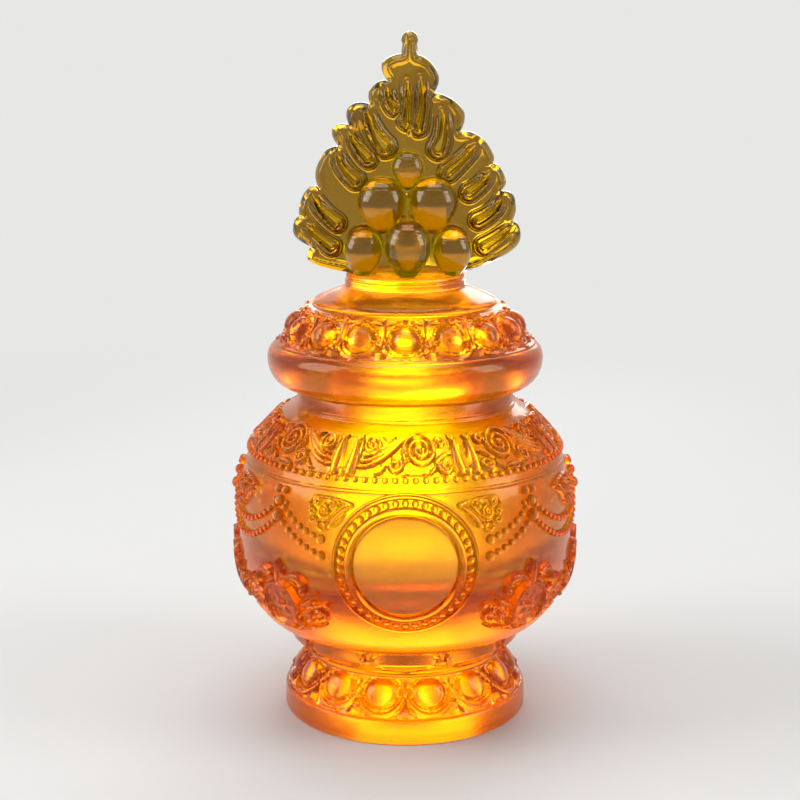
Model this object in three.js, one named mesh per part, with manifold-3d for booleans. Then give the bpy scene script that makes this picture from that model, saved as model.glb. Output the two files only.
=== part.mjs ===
// Himalayan treasure vase of cast amber glass, with a lid that lifts off.
// Millimetres, +Z up. The origin is the middle of the foot's flat underside and the front faces -Y.
import * as THREE from 'three';
import { mergeVertices } from 'three/addons/utils/BufferGeometryUtils.js';
import Module from 'manifold-3d';

const wasm = await Module();
wasm.setup();

const { sin, cos, sqrt, PI, min, max, floor, round } = Math;
const turn = 2 * PI;
const degree = PI / 180;

// Clearance between two pieces that seat on each other
const seatGap = 0.3;

// Foot
const footRadius = 43.5;
const footBandHeight = 8.3;
const footEdge = 0.8;
const footShelf = 2.5;
const footSlopeHeight = 11.2;
const waistRadius = 34.8;
const waistGroove = 0.6;
const waistRise = 1.9;
const flareHeight = 11.6;
const collarLift = 2.3;
const collarStep = 1;
const collarFlare = 4;
const collarUnderBowl = 2.3;
const footPetalCount = 14;
const petalBed = 1;
const petalReach = 0.42;
const footPetalMiddle = 0.62;
const collarPetalMiddle = 0.5;
const footPetalRise = 2.2;
const collarPetalCount = 10;
const collarPetalRise = 1.4;

// Bowl
const bowlBaseRadius = 42.5;
const bellyRadius = 59.4;
const lowerBowlHeight = 31;
const barrelHeight = 12;
const upperBowlHeight = 22;
const upperBowlDrawIn = 5.4;
const shoulderHeight = 10;
const shoulderDrawIn = 9.8;
const neckRadius = 38.1;
const neckFlareHeight = 3.4;
const neckFillet = 1.4;
const neckHeight = 6;
const wall = 7.5;
const neckWall = 5.1;
const bowlFloor = 9;

// Relief on the bowl
const roundelRadius = 24.3;
const roundelBelowPearls = 0.7;
const roundelFrameWidth = 6.4;
const roundelRimWidth = 1.5;
const roundelLipWidth = 0.6;
const roundelRise = 2.3;
const pearlDiameter = 2.2;
const roundelPearlCount = 40;
const pearlChannelDepth = 0.8;
const lensRise = 3.2;
const shoulderPearlPitch = 3.3;
const swagBeadPitch = 4.2;
const swagBeadDiameter = 2.3;
const swagEndBeadDiameter = 3.3;
const swagKnotDiameter = 5.4;
const swagRoundelGap = 1.2;
const upperSwagHeight = 53.5;
const upperSwagSag = 10.6;
const lowerSwagHeight = 48.3;
const lowerSwagSag = 11.1;
const bayCount = 8;
const pendantHeight = 52.4;
const pendantWidth = 15;
const pendantRoundelOffset = 2.8;
const sprayHeight = 19;
const sprayWidth = 38;
const curlThickness = 1.5;
const scrollBedThickness = 0.7;

// Lid
const lidRimRadius = 48.4;
const lidRimHeight = 15.6;
const lidRimRound = 7;
const lidWidestHeight = 10.5;
const lidRimShelf = 3.2;
const lidSlopeHeight = 12;
const lidSlopeDrawIn = 11.4;
const lidSlopeCove = 1.7;
const lidLedgeHeight = 2.8;
const lidDomeHeight = 4.4;
const lidGrooveWidth = 2.4;
const lidGrooveDepth = 1.6;
const plinthRadius = 21;
const plinthHeight = 4.6;
const plinthGroove = 0.9;
const spigotDepth = 9;
const spigotClearance = 0.5;
const spigotWall = 5;
const spigotChamfer = 1;
const lidThickness = 7;
const cabochonCount = 16;
const cabochonBed = 0.8;
const cabochonWidth = 11.6;
const cabochonHeight = 12.2;
const cabochonRise = 3.9;

// Finial
const flameHeight = 82.1;
const flameThickness = 7;
const flameBevel = 1.6;
const ridgeWidth = 2.1;
const ridgeRise = 1;
const ridgeRoot = 0.3;

const glass = new THREE.MeshStandardMaterial({ color: 0xe8a008, roughness: 0.22, metalness: 0 });
const deepGlass = new THREE.MeshStandardMaterial({ color: 0xc8780a, roughness: 0.22, metalness: 0 });
const clearGlass = new THREE.MeshStandardMaterial({ color: 0xffe000, roughness: 0.08, metalness: 0 });

// Heights that follow from the sizes above
const waistZ = footBandHeight + footSlopeHeight + waistRise;
const pedestalTop = waistZ + flareHeight;
const bowlZ = pedestalTop + seatGap;
const barrelZ = bowlZ + lowerBowlHeight;
const upperBowlZ = barrelZ + barrelHeight;
const shoulderZ = upperBowlZ + upperBowlHeight;
const shoulderRadius = bellyRadius - upperBowlDrawIn;
const coneRadius = shoulderRadius - shoulderDrawIn;
const coneZ = shoulderZ + shoulderHeight;
const neckZ = coneZ + neckFlareHeight;
const mouthZ = neckZ + neckHeight;
const boreRadius = neckRadius - neckWall;
const lidZ = mouthZ + seatGap;
const spigotRadius = boreRadius - spigotClearance;
const lidEdgeZ = lidZ + lidRimHeight;
const lidLedgeZ = lidEdgeZ + lidSlopeHeight;
const lidEdgeRadius = lidRimRadius - lidRimShelf;
const lidLedgeRadius = lidEdgeRadius - lidSlopeDrawIn;
const domeZ = lidLedgeZ + lidLedgeHeight;
const plinthZ = domeZ + lidDomeHeight + seatGap;
const flameZ = plinthZ + plinthHeight + seatGap;

function at(azimuth, radius, z) {
  return new THREE.Vector3(radius * sin(azimuth), -radius * cos(azimuth), z);
}

// Position only, doubles merged, empty triangles dropped, faces turned outwards
function clean(geometry) {
  const bare = geometry.clone();
  for (const name of Object.keys(bare.attributes)) {
    if (name !== 'position') bare.deleteAttribute(name);
  }
  const merged = mergeVertices(bare, 1e-4);
  const position = merged.attributes.position;
  const corners = [new THREE.Vector3(), new THREE.Vector3(), new THREE.Vector3()];
  const kept = [];
  let volume = 0;
  for (let i = 0; i < merged.index.count; i += 3) {
    const face = [0, 1, 2].map((k) => merged.index.getX(i + k));
    if (new Set(face).size < 3) continue;
    face.forEach((vertex, k) => corners[k].fromBufferAttribute(position, vertex));
    volume += corners[0].dot(corners[1].clone().cross(corners[2]));
    kept.push(...face);
  }
  if (volume < 0) {
    for (let i = 0; i < kept.length; i += 3) [kept[i], kept[i + 1]] = [kept[i + 1], kept[i]];
  }
  merged.setIndex(kept);
  return merged;
}

function toSolid(geometry) {
  const { index, attributes } = clean(geometry);
  const mesh = new wasm.Mesh({
    numProp: 3,
    vertProperties: new Float32Array(attributes.position.array),
    triVerts: new Uint32Array(index.array),
  });
  return new wasm.Manifold(mesh);
}

function toGeometry(solid) {
  const mesh = solid.getMesh();
  const geometry = new THREE.BufferGeometry();
  geometry.setAttribute('position', new THREE.BufferAttribute(mesh.vertProperties, 3));
  geometry.setIndex(Array.from(mesh.triVerts));
  return geometry;
}

function fused(geometries) {
  return toGeometry(geometries.map(toSolid).reduce((whole, piece) => whole.add(piece)));
}

// A turned solid from a profile of [radius, z] points; azimuth 0 lies at the front
function turned(profile, segments) {
  const points = profile.map(([radius, z]) => new THREE.Vector2(radius, z));
  return clean(new THREE.LatheGeometry(points, segments).rotateX(PI / 2));
}

// A skin over rings of points. It joins the last ring to the first, or else caps both ends.
function skin(rings, endless = false) {
  const count = rings[0].length;
  const index = [];
  const joins = endless ? rings.length : rings.length - 1;
  for (let r = 0; r < joins; r++) {
    const here = r * count;
    const there = ((r + 1) % rings.length) * count;
    for (let i = 0; i < count; i++) {
      const j = (i + 1) % count;
      index.push(here + i, here + j, there + j, here + i, there + j, there + i);
    }
  }
  const last = (rings.length - 1) * count;
  for (let i = 1; !endless && i < count - 1; i++) {
    index.push(0, i + 1, i, last, last + i, last + i + 1);
  }
  const geometry = new THREE.BufferGeometry().setFromPoints(rings.flat());
  geometry.setIndex(index);
  return clean(geometry);
}

// Outline of the bowl: radius at a height, from the flat base to the top of the upper bowl
function bowlRadius(z) {
  if (z < barrelZ) {
    const fall = min(1, (barrelZ - z) / lowerBowlHeight);
    return bowlBaseRadius + (bellyRadius - bowlBaseRadius) * sqrt(1 - fall * fall);
  }
  const rise = max(0, (z - upperBowlZ) / upperBowlHeight);
  return bellyRadius - upperBowlDrawIn * rise * rise;
}

// A carrier is a turned surface, described by its outline point [radius, z] at a place v along it.
// The seat function lifts a point off it along the outward normal.
const bowlWall = (v) => [bowlRadius(bowlZ + v), bowlZ + v];
const shoulderCone = (v) => [shoulderRadius - shoulderDrawIn * v, shoulderZ + shoulderHeight * v];

function seat(carrier, azimuth, v, lift) {
  const step = 0.01;
  const [radius, z] = carrier(v);
  const [beforeRadius, beforeZ] = carrier(v - step);
  const [afterRadius, afterZ] = carrier(v + step);
  const alongRadius = afterRadius - beforeRadius;
  const alongZ = afterZ - beforeZ;
  const length = sqrt(alongRadius * alongRadius + alongZ * alongZ);
  return at(azimuth, radius + lift * alongZ / length, z - lift * alongRadius / length);
}

// A raised bar that follows a path of [azimuth, v, scale] on a carrier, with a roof-shaped section
function bar(carrier, path, width, rise, lift = seatGap) {
  const rings = path.map(([azimuth, v, scale], i) => {
    const [fromAzimuth, fromV] = path[max(0, i - 1)];
    const [toAzimuth, toV] = path[min(path.length - 1, i + 1)];
    const radius = carrier(v)[0];
    const across = new THREE.Vector2(-(toV - fromV), (toAzimuth - fromAzimuth) * radius).normalize();
    const corner = (side, height) => seat(
      carrier,
      azimuth + side * across.x * width * scale / radius,
      v + side * across.y * width * scale,
      lift + height * scale,
    );
    return [corner(-0.5, 0), corner(0.5, 0), corner(0, rise)];
  });
  return skin(rings);
}

// A string of pearls along a path: the bar swells at each pearl and narrows between them
function pearls(carrier, route, length, pitch, diameter, lift = seatGap) {
  const count = max(2, round(length / pitch));
  const path = [];
  for (let i = 0; i <= 2 * count; i++) {
    const [azimuth, v] = route(i / (2 * count));
    path.push([azimuth, v, i % 2 ? 1 : 0.5]);
  }
  return bar(carrier, path, diameter, diameter * 0.9, lift);
}

// A low dome on a carrier over an outline of [across, up] points round its middle. Its layers, from the back
// to the front, are [share of the outline, lift]. A third number is a round of that share of the width.
const beadLayers = [[1, 0], [0.86, 0.65], [0.4, 1]];
const plateLayers = [[0, 0], [0.5, 0], [1, 0], [0.76, 1], [0, 0.9, 0.42], [0, 1.8, 0.3], [0, 1.9]];
const leafLayers = [
  [0, 0], [0.5, 0], [1, 0], [0.8, 0.9], [0, 0.9, 0.36], [0, 1.8, 0.32], [0, 1.8, 0.2], [0, 2.2],
];
const cabochonLayers = [
  [0, 0.12], [1, 0.12], [0.95, 0.34], [0.8, 0.26], [0.72, 0.6], [0.42, 0.92], [0, 1],
];
const lensLayers = [[0, 0], [0.35, 0], [0.7, 0], [1, 0], [1, 0.3], [0.72, 0.8], [0.36, 1], [0, 1]];

function dome(carrier, azimuth, v, outline, rise, layers = beadLayers) {
  const radius = carrier(v)[0];
  const half = max(...outline.map(([across]) => across));
  return skin(layers.map(([share, height, round = 0]) => outline.map(([across, up]) => {
    const scale = share + round * half / sqrt(across * across + up * up);
    return seat(carrier, azimuth + scale * across / radius, v + scale * up, seatGap + height * rise);
  })));
}

function disc(radius, sides) {
  const step = turn / sides;
  return Array.from({ length: sides }, (_, i) => [radius * cos(i * step), radius * sin(i * step)]);
}

// A closed leaf outline from its right half, given as [across, up] from the bottom to the top
function mirrored(rightHalf, scale) {
  const right = rightHalf.map(([across, up]) => [across * scale, up * scale]);
  const left = right.filter(([across]) => across > 0).reverse().map(([across, up]) => [-across, up]);
  return [...right, ...left];
}

const vase = new THREE.Group();
const lidGroup = new THREE.Group();

function add(group, name, geometry, material = glass) {
  const mesh = new THREE.Mesh(clean(geometry), material);
  mesh.name = name;
  group.add(mesh);
}

// Foot: a straight band on the table, a slope for the petals, a waist and a flare up to the bowl
const slopeFoot = footRadius - footShelf;
const slopeTop = waistRadius - waistGroove;
const petalSlope = (v) => [
  slopeFoot + (slopeTop - slopeFoot) * v,
  footBandHeight + footSlopeHeight * v,
];
const collarFoot = waistRadius + collarStep;
const flareRadius = bowlBaseRadius - collarUnderBowl;
const collarStart = waistZ + collarLift;
const collarKnee = collarStart + collarFlare;
const collarSeat = (v) => (v < 0.5
  ? [collarFoot + (flareRadius - collarFoot) * 2 * v, collarStart + (collarKnee - collarStart) * 2 * v]
  : [flareRadius, collarKnee + (pedestalTop - collarKnee) * (2 * v - 1)]);

function pedestal() {
  return turned([
    [0, 0],
    [footRadius - footEdge, 0],
    [footRadius, footEdge],
    [footRadius, footBandHeight - footEdge],
    [footRadius - footEdge, footBandHeight],
    petalSlope(0),
    petalSlope(1),
    [waistRadius, waistZ],
    collarSeat(0),
    collarSeat(0.5),
    collarSeat(1),
    [0, pedestalTop],
  ], 32);
}

// A ring of petals on a carrier: each petal is a dome in its own share of the circle, highest at the middle,
// which is a share of the carrier's length
function petalRing(carrier, from, to, count, bed, rise, shift, columns, middle, knee = null) {
  const total = count * columns;
  const stations = [0, middle - petalReach * 0.66, middle, middle + petalReach * 0.6, 1];
  const rings = [];
  for (let c = 0; c < total; c++) {
    const azimuth = (c / total + shift / count) * turn;
    const across = sin((c % columns) / columns * PI);
    const v = (t) => from + (to - from) * t;
    const outer = stations.map((t) => {
      const along = sqrt(max(0, 1 - ((t - middle) / petalReach) ** 2));
      return seat(carrier, azimuth, v(t), seatGap + bed + rise * sqrt(across) * along);
    });
    const inner = [1, knee, 0].filter((t) => t !== null).map((t) => seat(carrier, azimuth, v(t), seatGap));
    rings.push([...outer, ...inner]);
  }
  return skin(rings, true);
}

function bowl() {
  const outer = [[bowlBaseRadius, bowlZ]];
  for (let i = 1; i <= 8; i++) {
    const z = barrelZ - lowerBowlHeight * cos(i / 8 * PI / 2);
    outer.push([bowlRadius(z), z]);
  }
  for (let i = 0; i <= 4; i++) {
    const z = upperBowlZ + upperBowlHeight * i / 4;
    outer.push([bowlRadius(z), z]);
  }
  outer.push([coneRadius, coneZ]);
  outer.push([neckRadius + neckFillet, neckZ - neckFillet / 2], [neckRadius, neckZ], [neckRadius, mouthZ]);
  const cavityRadius = bellyRadius - wall;
  const floorZ = bowlZ + bowlFloor;
  const cavityZ = barrelZ;
  const inner = [
    [boreRadius, mouthZ],
    [boreRadius, neckZ - wall * 0.6],
    [shoulderRadius - wall, shoulderZ - wall * 0.2],
    [cavityRadius, upperBowlZ],
  ];
  for (let i = 0; i <= 4; i++) {
    const angle = i / 4 * PI / 2;
    inner.push([cavityRadius * cos(angle), cavityZ - (cavityZ - floorZ) * sin(angle)]);
  }
  inner[inner.length - 1][0] = 0;
  return turned([[0, bowlZ], ...outer, ...inner], 32);
}

add(vase, 'foot_pedestal', pedestal());
const footPetals = petalRing(
  petalSlope, 0.05, 0.98, footPetalCount, petalBed, footPetalRise, 0, 4, footPetalMiddle,
);
add(vase, 'foot_lotus_petals', footPetals);
const collar = petalRing(
  collarSeat, 0.04, 0.97, collarPetalCount, petalBed, collarPetalRise, 0.5, 4, collarPetalMiddle, 0.5,
);
add(vase, 'bowl_lotus_collar', collar);
add(vase, 'bowl', bowl());

// Roundels: a framed lens on the front and on the back
const lensRadius = roundelRadius - roundelFrameWidth - seatGap;
const channelInner = roundelRadius - roundelRimWidth - pearlDiameter - seatGap;
const pearlRingV = shoulderZ - bowlZ - pearlDiameter;
const roundelV = pearlRingV - pearlDiameter / 2 - roundelBelowPearls - roundelRadius;

function ringPoint(azimuth, angle, reach, lift) {
  const radius = bellyRadius;
  return seat(bowlWall, azimuth + reach * cos(angle) / radius, roundelV + reach * sin(angle), lift);
}

function roundelFrame(azimuth) {
  const section = [
    [lensRadius + seatGap, 0],
    [roundelRadius, 0],
    [roundelRadius, roundelRise * 0.8],
    [roundelRadius - roundelRimWidth * 0.6, roundelRise],
    [roundelRadius - roundelRimWidth, pearlChannelDepth],
    [channelInner, pearlChannelDepth],
    [channelInner - roundelLipWidth, roundelRise],
    [lensRadius + seatGap, roundelRise * 0.6],
  ];
  const steps = 28;
  return skin(Array.from({ length: steps }, (_, i) => section.map(
    ([reach, lift]) => ringPoint(azimuth, i / steps * turn, reach, seatGap + lift),
  )), true);
}

function roundelPearls(azimuth) {
  const reach = (roundelRadius - roundelRimWidth + channelInner) / 2;
  const steps = 2 * roundelPearlCount;
  return skin(Array.from({ length: steps }, (_, i) => {
    const scale = i % 2 ? 1 : 0.5;
    const half = pearlDiameter / 2 * scale;
    const base = 2 * seatGap + pearlChannelDepth;
    const angle = i / steps * turn;
    return [[-half, 0], [half, 0], [0, 1.7 * half]].map(
      ([offset, lift]) => ringPoint(azimuth, angle, reach + offset, base + lift),
    );
  }), true);
}

function lens(azimuth) {
  return dome(bowlWall, azimuth, roundelV, disc(lensRadius, 24), lensRise, lensLayers);
}

for (const [side, azimuth] of [['front', 0], ['back', PI]]) {
  add(vase, `${side}_roundel_frame`, roundelFrame(azimuth));
  add(vase, `${side}_roundel_pearls`, roundelPearls(azimuth));
  add(vase, `${side}_roundel_lens`, lens(azimuth), clearGlass);
}

// Swags: two strings of pearls in each bay, hung from knots; the roundels cut short those that they cover.
const bay = turn / bayCount;

function swagV(height, sag, azimuth) {
  const t = (azimuth / bay) - floor(azimuth / bay);
  return height - 4 * sag * t * (1 - t);
}

function swagSide(hand) {
  const pieces = [];
  const stringEnd = (roundelRadius + swagEndBeadDiameter + swagRoundelGap) / bellyRadius;
  const knots = [1, 2, 3].map((n) => n * bay);
  const strings = [[upperSwagHeight, upperSwagSag], [lowerSwagHeight, lowerSwagSag]];
  const spans = [[stringEnd, bay], [bay, 2 * bay], [2 * bay, 3 * bay], [3 * bay, PI - stringEnd]];
  for (const [height, sag] of strings) {
    for (const [from, to] of spans) {
      const inside = 1e-6;
      const route = (t) => {
        const azimuth = from + (to - from) * t;
        return [hand * azimuth, swagV(height, sag, min(max(azimuth, from + inside), to - inside))];
      };
      const length = (to - from) * bellyRadius * 1.1;
      pieces.push(pearls(bowlWall, route, length, swagBeadPitch, swagBeadDiameter));
    }
    for (const end of [stringEnd, PI - stringEnd]) {
      const v = swagV(height, sag, end);
      pieces.push(dome(bowlWall, hand * end, v, disc(swagEndBeadDiameter / 2, 6), swagEndBeadDiameter * 0.7));
    }
  }
  const knotRadius = swagKnotDiameter / 2;
  for (const knot of knots) {
    const link = [[hand * knot, lowerSwagHeight, 1], [hand * knot, upperSwagHeight, 1]];
    pieces.push(bar(bowlWall, link, swagBeadDiameter, swagBeadDiameter));
    for (const v of [lowerSwagHeight, upperSwagHeight]) {
      pieces.push(dome(bowlWall, hand * knot, v, disc(knotRadius, 6), knotRadius));
    }
    for (const across of [-1, 1]) {
      const azimuth = hand * knot + across * knotRadius * 0.75 / bellyRadius;
      const v = upperSwagHeight + knotRadius * 1.1;
      pieces.push(dome(bowlWall, azimuth, v, disc(knotRadius * 0.75, 5), knotRadius * 0.8));
    }
  }
  return fused(pieces);
}

add(vase, 'right_pearl_swags', swagSide(1));
add(vase, 'left_pearl_swags', swagSide(-1));

// Pendants: a plate of three curled lobes that points down, with a round heart
const pendantHalf = [
  [0, -1], [0.3, -0.62], [0.22, -0.36], [0.66, -0.18], [0.98, 0.3], [0.72, 0.66], [0.34, 0.5], [0, 0.7],
];

function pendant(azimuth) {
  const outline = mirrored(pendantHalf, pendantWidth / 2);
  return dome(bowlWall, azimuth, pendantHeight, outline, curlThickness, plateLayers);
}

const besideRoundel = (roundelRadius + pendantRoundelOffset) / bellyRadius;
const rightPendants = [besideRoundel, 1.5 * bay, 2.5 * bay, PI - besideRoundel];
const leftPendants = rightPendants.map((azimuth) => turn - azimuth).reverse();
[...rightPendants, ...leftPendants].forEach((azimuth, i) => {
  add(vase, `scroll_pendant_${i + 1}`, pendant(azimuth));
});

// Sprays: a jewel disc with a pointed flame above it, on lotus leaves that curl out to both sides
const sprayHalf = [
  [0, -0.5], [0.34, -0.5], [0.5, -0.34], [0.9, -0.02], [1, 0.16],
  [0.5, 0.16], [0.6, 0.46], [0.24, 0.36], [0, 0.92],
];

function spray(azimuth) {
  return dome(bowlWall, azimuth, sprayHeight, mirrored(sprayHalf, sprayWidth / 2), curlThickness, leafLayers);
}

[1, 2, 3, 5, 6, 7].forEach((place, i) => add(vase, `lotus_spray_${i + 1}`, spray(place * bay)));

// Shoulder: a ring of pearls at the edge, and a band of spirals on the slope above it
function shoulderPearls() {
  const count = round(bowlRadius(bowlZ + pearlRingV) * turn / shoulderPearlPitch);
  return skin(Array.from({ length: 2 * count }, (_, i) => {
    const half = pearlDiameter / 2 * (i % 2 ? 1 : 0.5);
    return [[-half, 0], [half, 0], [0, 1.7 * half]].map(
      ([offset, lift]) => seat(bowlWall, i / (2 * count) * turn, pearlRingV + offset, seatGap + lift),
    );
  }), true);
}

function scrollBand() {
  const bed = [[0.06, 0], [0.96, 0], [0.96, scrollBedThickness], [0.06, scrollBedThickness]];
  const columns = 32;
  const ring = skin(Array.from({ length: columns }, (_, i) => bed.map(
    ([v, lift]) => seat(shoulderCone, i / columns * turn, v, seatGap + lift),
  )), true);
  const pieces = [ring];
  const slant = sqrt(shoulderHeight ** 2 + shoulderDrawIn ** 2);
  for (let i = 0; i < bayCount; i++) {
    const middle = i * bay;
    for (const side of [-1, 1]) {
      const wave = [];
      for (let k = 0; k <= 5; k++) {
        const t = k / 5;
        const angle = PI * 0.5 + side * t * 1.1 * turn;
        const reach = slant * 0.3 * (1 - 0.7 * t);
        const radius = shoulderCone(0.5)[0];
        const azimuth = middle + side * bay * 0.22 + reach * cos(angle) / radius;
        wave.push([azimuth, 0.5 + reach * sin(angle) / slant, 1]);
      }
      pieces.push(coneBar(wave));
    }
  }
  return fused(pieces);
}

// A bar on the shoulder's cone, where a place v runs from 0 at the edge to 1 at the neck
function coneBar(path) {
  const slant = sqrt(shoulderHeight ** 2 + shoulderDrawIn ** 2);
  const flat = (v) => shoulderCone(v / slant);
  const along = path.map(([azimuth, v, scale]) => [azimuth, v * slant, scale]);
  return bar(flat, along, curlThickness, curlThickness, seatGap + scrollBedThickness / 2);
}

add(vase, 'shoulder_pearl_ring', shoulderPearls());
add(vase, 'shoulder_scroll_band', scrollBand());

// Lid: a cap with a rounded rim, hollow underneath, with a spigot that drops into the neck
const lidSlope = (v) => [
  lidEdgeRadius - lidSlopeDrawIn * (1 - max(0, 1 - v) ** lidSlopeCove),
  lidEdgeZ + lidSlopeHeight * v,
];
const slopeStations = [0.04, 0.33, 0.67, 0.97];
const slopeMiddle = 0.5;
const slopeStep = 0.05;
const cabochonSides = 10;

function lidCap() {
  const rim = [];
  const [lowest, highest] = [-80, 50];
  const steps = 7;
  for (let i = 0; i <= steps; i++) {
    const angle = (highest + (lowest - highest) * i / steps) * degree;
    const above = (lidRimHeight - lidWidestHeight) / sin(highest * degree);
    const reach = angle < 0 ? lidWidestHeight - seatGap : above;
    rim.push([lidRimRadius - lidRimRound * (1 - cos(angle)), lidZ + lidWidestHeight + reach * sin(angle)]);
  }
  const hollowRadius = spigotRadius - spigotWall;
  return turned([
    [0, domeZ + lidDomeHeight],
    [plinthRadius + seatGap, domeZ + lidDomeHeight],
    [(plinthRadius + lidLedgeRadius) / 2, domeZ + lidDomeHeight * 0.6],
    [lidLedgeRadius - 2 * lidGrooveWidth, domeZ],
    [lidLedgeRadius - lidGrooveWidth, domeZ - lidGrooveDepth],
    [lidLedgeRadius - seatGap, domeZ - lidGrooveDepth],
    lidSlope(1),
    lidSlope(slopeStations[2]),
    lidSlope(slopeStations[1]),
    lidSlope(0),
    ...rim,
    [neckRadius, lidZ],
    [spigotRadius, lidZ],
    [spigotRadius, lidZ - spigotDepth + spigotChamfer],
    [spigotRadius - spigotChamfer, lidZ - spigotDepth],
    [hollowRadius, lidZ - spigotDepth],
    [hollowRadius, lidZ + lidRimHeight * 0.5],
    [hollowRadius * 0.9, domeZ - lidThickness],
    [0, domeZ + lidDomeHeight - lidThickness],
  ], 32);
}

function plinth() {
  return turned([
    [0, plinthZ],
    [plinthRadius, plinthZ],
    [plinthRadius, plinthZ + plinthHeight * 0.35],
    [plinthRadius - plinthGroove, plinthZ + plinthHeight * 0.5],
    [plinthRadius - plinthGroove / 3, plinthZ + plinthHeight * 0.75],
    [plinthRadius - plinthGroove, plinthZ + plinthHeight],
    [0, plinthZ + plinthHeight],
  ], 24);
}

// A ring of round cabochons, each in a raised border, on a thin bed that follows the slope
function cabochonRing() {
  const columns = 2 * cabochonCount;
  const outer = slopeStations.map((v) => [v, cabochonBed]);
  const inner = slopeStations.map((v) => [v, 0]).reverse();
  const bed = skin(Array.from({ length: columns }, (_, i) => [...outer, ...inner].map(
    ([v, lift]) => seat(lidSlope, i / columns * turn, v, seatGap + lift),
  )), true);
  const [aboveRadius, aboveZ] = lidSlope(slopeMiddle + slopeStep);
  const [belowRadius, belowZ] = lidSlope(slopeMiddle - slopeStep);
  const length = sqrt((aboveRadius - belowRadius) ** 2 + (aboveZ - belowZ) ** 2) / (2 * slopeStep);
  const slope = (v) => lidSlope(slopeMiddle + v / length);
  const oval = disc(1, cabochonSides).map(
    ([across, up]) => [across * cabochonWidth / 2, up * cabochonHeight / 2],
  );
  const cabochons = Array.from({ length: cabochonCount }, (_, i) => dome(
    slope, i / cabochonCount * turn, 0, oval, cabochonRise, cabochonLayers,
  ));
  return fused([bed, ...cabochons]);
}

add(lidGroup, 'lid', lidCap());
add(lidGroup, 'lid_cabochon_ring', cabochonRing());
add(lidGroup, 'finial_plinth', plinth());

// Flame: tongues up each side, from the bottom, as [tip x, tip height, top x, top height, notch x,
// notch height]. The unit is a hundredth of the flame's height.
const flameUnit = flameHeight / 100;
const flameBaseHalf = 25 * flameUnit;
const leftTongues = [
  [41.4, 6.1, 41.4, 10, 39.7, 10.5],
  [47.4, 18.4, 47.4, 22.5, 44.6, 23.9],
  [44.3, 29, 42.1, 37, 36.9, 36.5],
  [37.4, 43.6, 34.3, 53.1, 28, 53.1],
  [30.5, 60.2, 28, 63.1, 23.5, 61.9],
  [24.2, 68, 21.3, 72.6, 14.6, 70.4],
  [15, 75.8, 11.9, 80.4, 7.6, 80.1],
  [9.6, 87.2, 6.1, 90.6, 1.7, 90.9],
];
const rightTongues = [
  [48.8, 15.7, 48.8, 20.7, 45.3, 21.9],
  [46.4, 29.2, 46.3, 34.8, 40.4, 34.5],
  [42.1, 39.5, 39.7, 46, 36.8, 45.9],
  [36.8, 49.8, 32.4, 59.7, 23.1, 59.3],
  [24.6, 67.1, 21, 73.3, 12.1, 75],
  [13.8, 82.3, 11, 88.9, 5.4, 90.4],
];
const knobX = 1.8 * flameUnit;
const knobRadius = 3.5 * flameUnit;
const knobHeight = flameHeight - knobRadius;

// Grooves of the tongues, each as [inner x, inner height, outer x, outer height, inner half-width,
// outer half-width]: a raised ridge goes round each of them, on both faces
const tongueGrooves = [
  [-31.2, 11.1, -41.4, 19.9, 1.8, 1.9],
  [-29, 21.1, -38.7, 32.6, 1.9, 2.2],
  [-20.8, 39, -28.4, 50.7, 1.8, 1.9],
  [-15.6, 47.7, -23.6, 58.6, 1.7, 2.2],
  [-8.5, 52.9, -15.7, 67, 2.7, 3.4],
  [-4.6, 69.1, -7.4, 76.7, 1.4, 1.6],
  [0.7, 63.3, 1, 79.2, 1.5, 1.9],
  [5.5, 60.7, 6.3, 81, 1.6, 2.7],
  [13.8, 51.9, 15.1, 67.6, 2.6, 1.4],
  [18, 42.1, 29, 53, 1.9, 2.2],
  [26.8, 33.6, 35.3, 41.7, 1.6, 1.9],
  [30.7, 22, 40.9, 31.9, 1.5, 1.9],
  [33.5, 11.2, 45.1, 19.5, 1.8, 2.4],
];

function ridge(groove, side) {
  const [innerX, inner, outerX, outer, innerHalf, outerHalf] = groove.map((size) => size * flameUnit);
  const start = new THREE.Vector2(innerX, inner);
  const along = new THREE.Vector2(outerX, outer).sub(start);
  const length = along.length();
  along.normalize();
  const across = new THREE.Vector2(-along.y, along.x);
  const path = [-1, -0.5, 0].map((t) => [-t * length, innerHalf + (outerHalf - innerHalf) * -t]);
  path.push([-innerHalf, 0]);
  path.push(...[0, 0.5, 1].map((t) => [t * length, -innerHalf - (outerHalf - innerHalf) * t]));
  const points = path.map(([forward, aside]) => start.clone()
    .addScaledVector(along, forward)
    .addScaledVector(across, aside));
  const face = flameThickness / 2;
  const rings = points.map((point, i) => {
    const way = points[min(i + 1, points.length - 1)].clone().sub(points[max(i - 1, 0)]).normalize();
    return [[-ridgeWidth / 2, -ridgeRoot], [ridgeWidth / 2, -ridgeRoot], [0, ridgeRise]].map(
      ([aside, lift]) => new THREE.Vector3(
        point.x - way.y * aside,
        side * (face + lift),
        flameZ + point.y + way.x * aside,
      ),
    );
  });
  return skin(rings);
}

function flameSide(tongues, hand) {
  const points = [];
  let from = new THREE.Vector2(hand * flameBaseHalf, 0);
  for (const tongue of tongues) {
    const [tipX, tip, topX, top, notchX, notch] = tongue.map((size) => size * flameUnit);
    const tipPoint = new THREE.Vector2(hand * tipX, tip);
    const notchPoint = new THREE.Vector2(hand * notchX, notch);
    const under = new THREE.Vector2(hand * (tipX + flameUnit), (from.y + tip) / 2);
    const over = new THREE.Vector2(hand * topX, top);
    points.push(...new THREE.QuadraticBezierCurve(from, under, tipPoint).getPoints(2).slice(0, -1));
    points.push(...new THREE.QuadraticBezierCurve(tipPoint, over, notchPoint).getPoints(3).slice(0, -1));
    from = notchPoint;
  }
  return [...points, from];
}

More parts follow.
